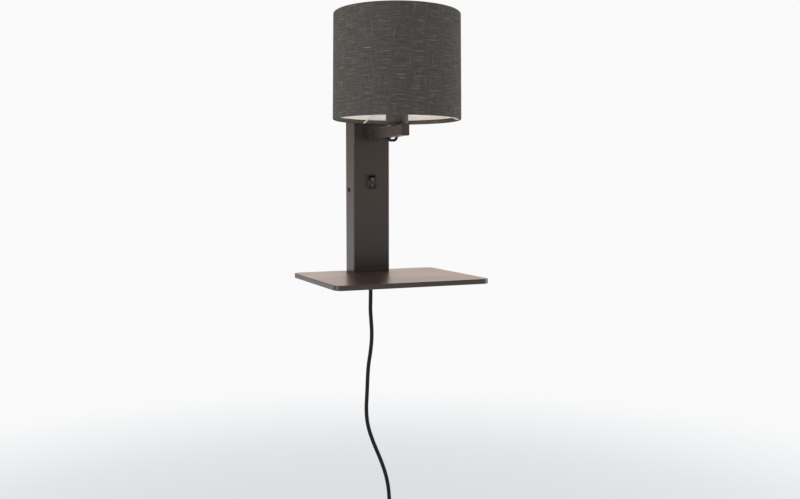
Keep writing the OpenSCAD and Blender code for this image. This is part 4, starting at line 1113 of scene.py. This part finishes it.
def make_marks():
    """The ring of O on the upper face and the bar of I on the lower, a hair proud of them."""
    bm = bmesh.new()
    proud, sunk = 0.00006, 0.0002
    inner_r, outer_r = 0.00105, 0.0015
    bar_w, bar_h, bar_corner = 0.0005, 0.0028, 0.0001
    mark_height = 0.0045

    def laid(x, z, height, sink):
        place = Vector((x, -rocker_front(height + z) - proud, height + z))
        return bm.verts.new(place + Vector((0, sink, 0)))

    skin(bm, [
        [laid(r * math.cos(a), r * math.sin(a), mark_height, sink) for a in whole_turn(40)]
        for r, sink in ((inner_r, sunk), (inner_r, 0), (outer_r, 0), (outer_r, sunk))
    ], closed=True)
    bar = rounded_outline(bar_w, bar_h, bar_corner, 2)
    skin(bm, [[laid(x, z, -mark_height, sink) for x, z in bar] for sink in (sunk, 0)])
    bm.transform(rocker_place)
    return finish_mesh(bm, "switch_marks", 35)


mark_white = grained_material(
    "mark_white", (178, 176, 170), (196, 194, 188), rough=0.5, grains=3000.0, relief=0.00001, blotches=300.0
)
declare(make_rocker(), switch_plastic, "black_plastic", "switch_rocker", body="rocker")
declare(make_marks(), mark_white, "white_plastic", body="rocker")
dress_nodes(brass, "switch_terminals", "terminal_inserts")


# ---- Terminals and inner wires ----
# The mains cord is held by a moulded saddle on the bracket. Its cores go to a terminal block, and
# on to the switch and up to the arm's lead, in blue and brown insulation.
black_plastic = grained_material(
    "black_plastic", (21, 21, 21), (30, 30, 30), rough=0.44, grains=2600.0, relief=0.00004, blotches=70.0,
    edge_radius=0.0003,
)
dress_nodes(white_plastic, "terminal_block")
dress_nodes(black_plastic, "cord_clamp")
dress_nodes(zinc, "terminal_screws", "clamp_screws")

insulation_r = 0.0009
neutral_runs_mm = [
    [(1.9, -20, -85.9), (1.9, -20, -85.1), (0.5, -18.5, -82.95), (-2.5, -14.5, -79.5), (-5, -10.5, -77.05),
     (-6, -8.5, -75.7), (-6, -8.5, -74.1)],
    [(-6, -8.5, -61.9), (-6, -8.5, -53.9), (-7, -9, -28), (-9, -10, 2), (-9, -10, 27), (-6, -10, 52),
     (-3, -10.5, 70), (-1.6, -12.5, 80), (-1.1, -16, 85), (-1.1, -19.9, 86)],
]
live_runs_mm = [
    [(4.1, -20, -85.9), (4.1, -20, -85.1), (4.4, -18.5, -82.95), (5.2, -14.5, -79.5), (5.75, -10.5, -77.05),
     (6, -8.5, -75.7), (6, -8.5, -74.1)],
    [(6, -8.5, -61.9), (6, -8.5, -53.9), (6, -9.5, -28), (4, -13, -8), (1.2, -17, 2), (0, -18, 7),
     (0, -18, 11)],
    [(0, -18, 22), (0, -18, 26), (1.5, -15, 36), (3, -11, 50), (3, -10.5, 70), (1.6, -12.5, 80),
     (1.1, -16, 85), (1.1, -19.9, 86)],
]


def wire_bundle(node, runs_mm, material, slot):
    bm = bmesh.new()
    for run in runs_mm:
        swept(bm, smooth_route([Vector(place) / 1000 for place in run], step=0.0012), insulation_r)
    declare(finish_mesh(bm, node + "_insulated"), material, slot, node)


wire_bundle("neutral_wires", neutral_runs_mm, grained_material(
    "blue_insulation", (34, 84, 158), (48, 100, 176), rough=0.36, grains=900.0, relief=0.00002, blotches=90.0
), "blue_wire")
wire_bundle("live_wires", live_runs_mm, grained_material(
    "brown_insulation", (92, 56, 34), (112, 70, 44), rough=0.36, grains=900.0, relief=0.00002, blotches=90.0
), "brown_wire")


# ---- Shelf ----
# A shallow tray of pressed steel sheet with its open side down, in the column's powder coat. It is
# screwed to the bracket's foot plate from below.
dress_nodes(bronze_coat, "shelf")
dress_nodes(dark_screw, "shelf_screws")


# ---- Cord outlet ----
# A snap-in rubber bush with a ribbed, tapered sleeve. The cord goes through it to the saddle.
bush_axis = Vector((outlet.x, outlet.y, 0))
sheet_under = shelf_under + 0.0055
plate_top = sheet_under + 0.0035
flange_low = sheet_under - 0.0020
bush_bore_r = cord_d / 2 + 0.00005
rib_count_bush = 3


def ribbed_sleeve(low, low_r, high, high_r, first_groove, pitch, grooves, core_r):
    """Outline of a tapered sleeve with rounded grooves that let it bend, from low to high."""
    rows = []
    groove_h = 0.0016
    lip = 0.0003

    def side_r(z):
        return low_r + (high_r - low_r) * (z - low) / (high - low)

    for k in range(grooves):
        start = first_groove + pitch * k
        rows += [(side_r(start) - lip * 0.3, start - lip * 0.3), (side_r(start) - lip, start)]
        rows += [(core_r + lip * 0.3, start + lip * 0.2), (core_r, start + lip)]
        rows += [(core_r, start + groove_h - lip), (core_r + lip * 0.3, start + groove_h - lip * 0.2)]
        end = start + groove_h
        rows += [(side_r(end) - lip, end), (side_r(end) - lip * 0.3, end + lip * 0.3)]
        rows += [(side_r(end + lip), end + lip)]
    return rows


sleeve_rows = [(bush_bore_r, bush_low), (0.0037, bush_low), (0.0039, bush_low + 0.0003)]
sleeve_rows += ribbed_sleeve(
    bush_low, 0.0039, flange_low, 0.0050, bush_low + 0.003, 0.005, rib_count_bush, cord_d / 2 + 0.0007
)
sleeve_rows += [(0.0049, flange_low - 0.0008), (0.0053, flange_low - 0.0002), (0.0062, flange_low)]
sleeve_rows += [(0.0066, flange_low + 0.0003), (0.0074, sheet_under - 0.0005), (0.0072, sheet_under)]
sleeve_rows += [(0.0050, sheet_under), (0.0050, plate_top), (0.0066, plate_top), (0.0067, plate_top + 0.0003)]
sleeve_rows += [(0.0051, bush_high - 0.0002), (0.0047, bush_high), (bush_bore_r, bush_high)]
declare(turned("cord_bush_ribbed", sleeve_rows, centre=bush_axis), rubber, "black_rubber", "cord_bush")

tail_low, tail_high = heights("cord_tail")
tail_r = cord_d / 2 - 0.00002
tail_rows = [(0, tail_low + 0.0001), (tail_r - 0.0002, tail_low + 0.0001), (tail_r, tail_low + 0.0003)]
tail_rows += [(tail_r, tail_low + (tail_high - tail_low) * k / 12) for k in range(1, 12)]
tail_rows += [(tail_r, tail_high - 0.0004), (tail_r - 0.0002, tail_high - 0.0001), (tail_r - 0.0005, tail_high)]
tail_rows += [(0, tail_high)]
cord_end = turned("cord_tail_end", tail_rows, around=40, closed=False, centre=bush_axis)
declare(cord_end, cord_sheath, "black_cord", "cord_tail")


# ---- Tie ----
# A soft rubber strap round the waist of the folded cord. Its free end lies over the band and is
# held by two studs.
tie_low, tie_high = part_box("cord_tie")
tie_t = 0.0012
tie_corner = 0.0034
tie_middle = Vector((
    (tie_low.x + tie_high.x) / 2, (tie_low.y + tie_t + tie_high.y) / 2, (tie_low.z + tie_high.z) / 2,
))
band_w = tie_high.x - tie_low.x - 2 * tie_t
band_d = tie_high.y - tie_low.y - 3 * tie_t
band_half = (tie_high.z - tie_low.z) / 2


def rounded_plate(bm, middle, width, height, corner, front, back, edge):
    """A plate that faces the room, with rounded corners and soft front edges."""
    loops = [(0.0, back), (0.0, front + edge), (0.3 * edge, front + 0.3 * edge), (edge, front)]
    skin(bm, [
        [bm.verts.new(Vector((middle.x + x, y, middle.z + z)))
         for x, z in rounded_outline(width - 2 * inset, height - 2 * inset, corner - inset)]
        for inset, y in loops
    ])


def make_tie():
    """A ridged band, its free end and two studs."""
    ridges, ridge_share, steps = 7, 0.14, 84
    edge_out = tie_t * 0.7
    profile = [(0.0, -band_half), (edge_out, -band_half)]
    for k in range(steps + 1):
        ridge = 1 - ridge_share + ridge_share * math.cos(2 * math.pi * ridges * k / steps)
        profile.append((tie_t * ridge, band_half * (2 * k / steps - 1) * 0.97))
    profile += [(edge_out, band_half), (0.0, band_half)]
    bm = bmesh.new()
    skin(bm, [
        [bm.verts.new(tie_middle + Vector((x, y, z)))
         for x, y in rounded_outline(band_w + 2 * out, band_d + 2 * out, tie_corner + out, 10)]
        for out, z in profile
    ], closed=True)
    front = tie_low.y
    end_w, end_h = band_w / 2, 2 * band_half - 0.0006
    rounded_plate(bm, tie_middle, end_w, end_h, 0.0022, front, front + tie_t * 1.1, 0.0004)
    for side in (-1, 1):
        stud = tie_middle + Vector((side * band_w / 8, 0, 0))
        rounded_plate(bm, stud, 0.0032, 0.0032, 0.0015, front - 0.0007, front + 0.0004, 0.0003)
    return finish_mesh(bm, "cord_tie_strap", 50)


tie = declare(make_tie(), rubber, "black_rubber", "cord_tie")


# ---- Plug ----
# A flat two-pin plug moulded onto the cord, with sloping shoulders, thin side edges, a finger hollow
# on each flat side and a ribbed sleeve. The nickel-plated pins are sleeved in black for half way.
plug_axis = Vector((plug_x, plug_y, 0))
plug_face = heights("plug_body")[0]
plug_w = 0.035
plug_t = 0.0136
plug_edge_t = 0.003
flat_share = 25 / 35
neck_low = sleeve_top - 0.024
hollow_middle = neck_low - 0.019
hollow_half_h = 0.0036
hollow_half_w = 0.0085
hollow_depth = 0.0006


def softened(corners, cut, curve_steps=4, side_steps=9):
    """A closed outline with its corners cut back and curved, and its sides in short pieces."""

    def cut_back(corner, other):
        side = other - corner
        return corner + side.normalized() * min(cut, side.length * 0.45)

    points = []
    for i, corner in enumerate(corners):
        after = corners[(i + 1) % len(corners)]
        start, end = cut_back(corner, corners[i - 1]), cut_back(corner, after)
        for k in range(curve_steps + 1):
            t = k / curve_steps
            points.append((1 - t) ** 2 * start + 2 * t * (1 - t) * corner + t * t * end)
        points += [end.lerp(cut_back(after, corner), k / side_steps) for k in range(1, side_steps)]
    return points


def plug_section(width, thickness, z):
    """Outline of the plug at a height, with the finger hollows."""
    w, f, t = width / 2, width * flat_share / 2, thickness / 2
    e = plug_edge_t * thickness / plug_t / 2
    corners = ((w, -e), (w, e), (f, t), (-f, t), (-w, e), (-w, -e), (-f, -t), (f, -t))
    points = []
    for point in softened([Vector(corner) for corner in corners], cut=0.0022):
        along = 1 - min(abs(z - hollow_middle) / hollow_half_h, 1) ** 2
        across = 1 - min(abs(point.x) / hollow_half_w, 1) ** 4
        ridge = 0.75 + 0.25 * math.cos(2 * math.pi * (z - hollow_middle) / 0.0018)
        sunk = hollow_depth * along * across * ridge if abs(point.y) > thickness * 0.4 else 0
        points.append(Vector((point.x, point.y - math.copysign(sunk, point.y), z)))
    return points


def make_plug():
    # Height above the plug's face, width and thickness
    shoulders = [
        (0.0, 0.0344, 0.0130), (0.0003, 0.0348, 0.0134), (0.0008, plug_w, plug_t), (0.008, plug_w, plug_t),
    ]
    shoulders += [(0.0125 + 0.00025 * k, plug_w, plug_t) for k in range(37)]
    shoulders += [
        (0.0240, 0.0349, 0.0136), (0.0256, 0.0342, 0.0135), (0.0270, 0.0328, 0.0133), (0.0282, 0.0308, 0.0131),
        (0.0300, 0.0272, 0.0128), (0.0320, 0.0230, 0.0124), (0.0340, 0.0186, 0.0120), (0.0352, 0.0152, 0.0116),
        (0.0360, 0.0124, 0.0112), (0.0364, 0.0106, 0.0104),
    ]
    bm = bmesh.new()
    skin(bm, [
        [bm.verts.new(plug_axis + point) for point in plug_section(w, t, plug_face + up)]
        for up, w, t in shoulders
    ])
    low_r, high_r = 0.0054, cord_d / 2 + 0.0008
    rows = [(0.002, neck_low - 0.001), (low_r, neck_low - 0.001), (low_r, neck_low + 0.0005)]
    rows += ribbed_sleeve(
        neck_low, low_r, sleeve_top, high_r, neck_low + 0.003, 0.005, 4, cord_d / 2 + 0.0005
    )
    rows += [(high_r, sleeve_top - 0.0003), (high_r - 0.0002, sleeve_top), (0.002, sleeve_top)]
    absorb(bm, turned("plug_sleeve", rows, around=64, centre=plug_axis))
    return finish_mesh(bm, "plug_moulding", 50)


plug = declare(make_plug(), black_plastic, "black_plastic", "plug_body")

pin_tip_z = heights("plug_pins")[0]
pin_r = 0.002
pin_spacing = 0.0186
sleeve_end = plug_face - 0.0095


def make_pins(name, rows):
    bm = bmesh.new()
    for side in (-1, 1):
        centre = plug_axis + Vector((side * pin_spacing / 2, 0, 0))
        absorb(bm, turned(name, rows, around=48, closed=False, centre=centre))
    return finish_mesh(bm, name, 50)


tip_round = 0.0011
metal_rows = [(0, pin_tip_z)] + arc((pin_r - tip_round, pin_tip_z + tip_round), tip_round, -90, 0, 6)
metal_rows += [(pin_r, sleeve_end), (0, sleeve_end)]
plug_nickel = grained_material(
    "plug_nickel", (186, 184, 180), (212, 210, 206), rough=0.2, grains=3000.0, relief=0.00001, metallic=1.0,
    blotches=200.0, rough_spread=0.08,
)
pins = declare(make_pins("plug_pins_metal", metal_rows), plug_nickel, "plug_metal", "plug_pins")

collar_rows = [(0, sleeve_end + 0.0001), (pin_r - 0.0003, sleeve_end + 0.0001)]
collar_rows += [(pin_r - 0.0001, sleeve_end + 0.0003), (pin_r - 0.0001, plug_face + 0.0004)]
collar_rows += [(0, plug_face + 0.0004)]
pin_sleeves = declare(make_pins("plug_pin_sleeves", collar_rows), black_plastic, "black_plastic")
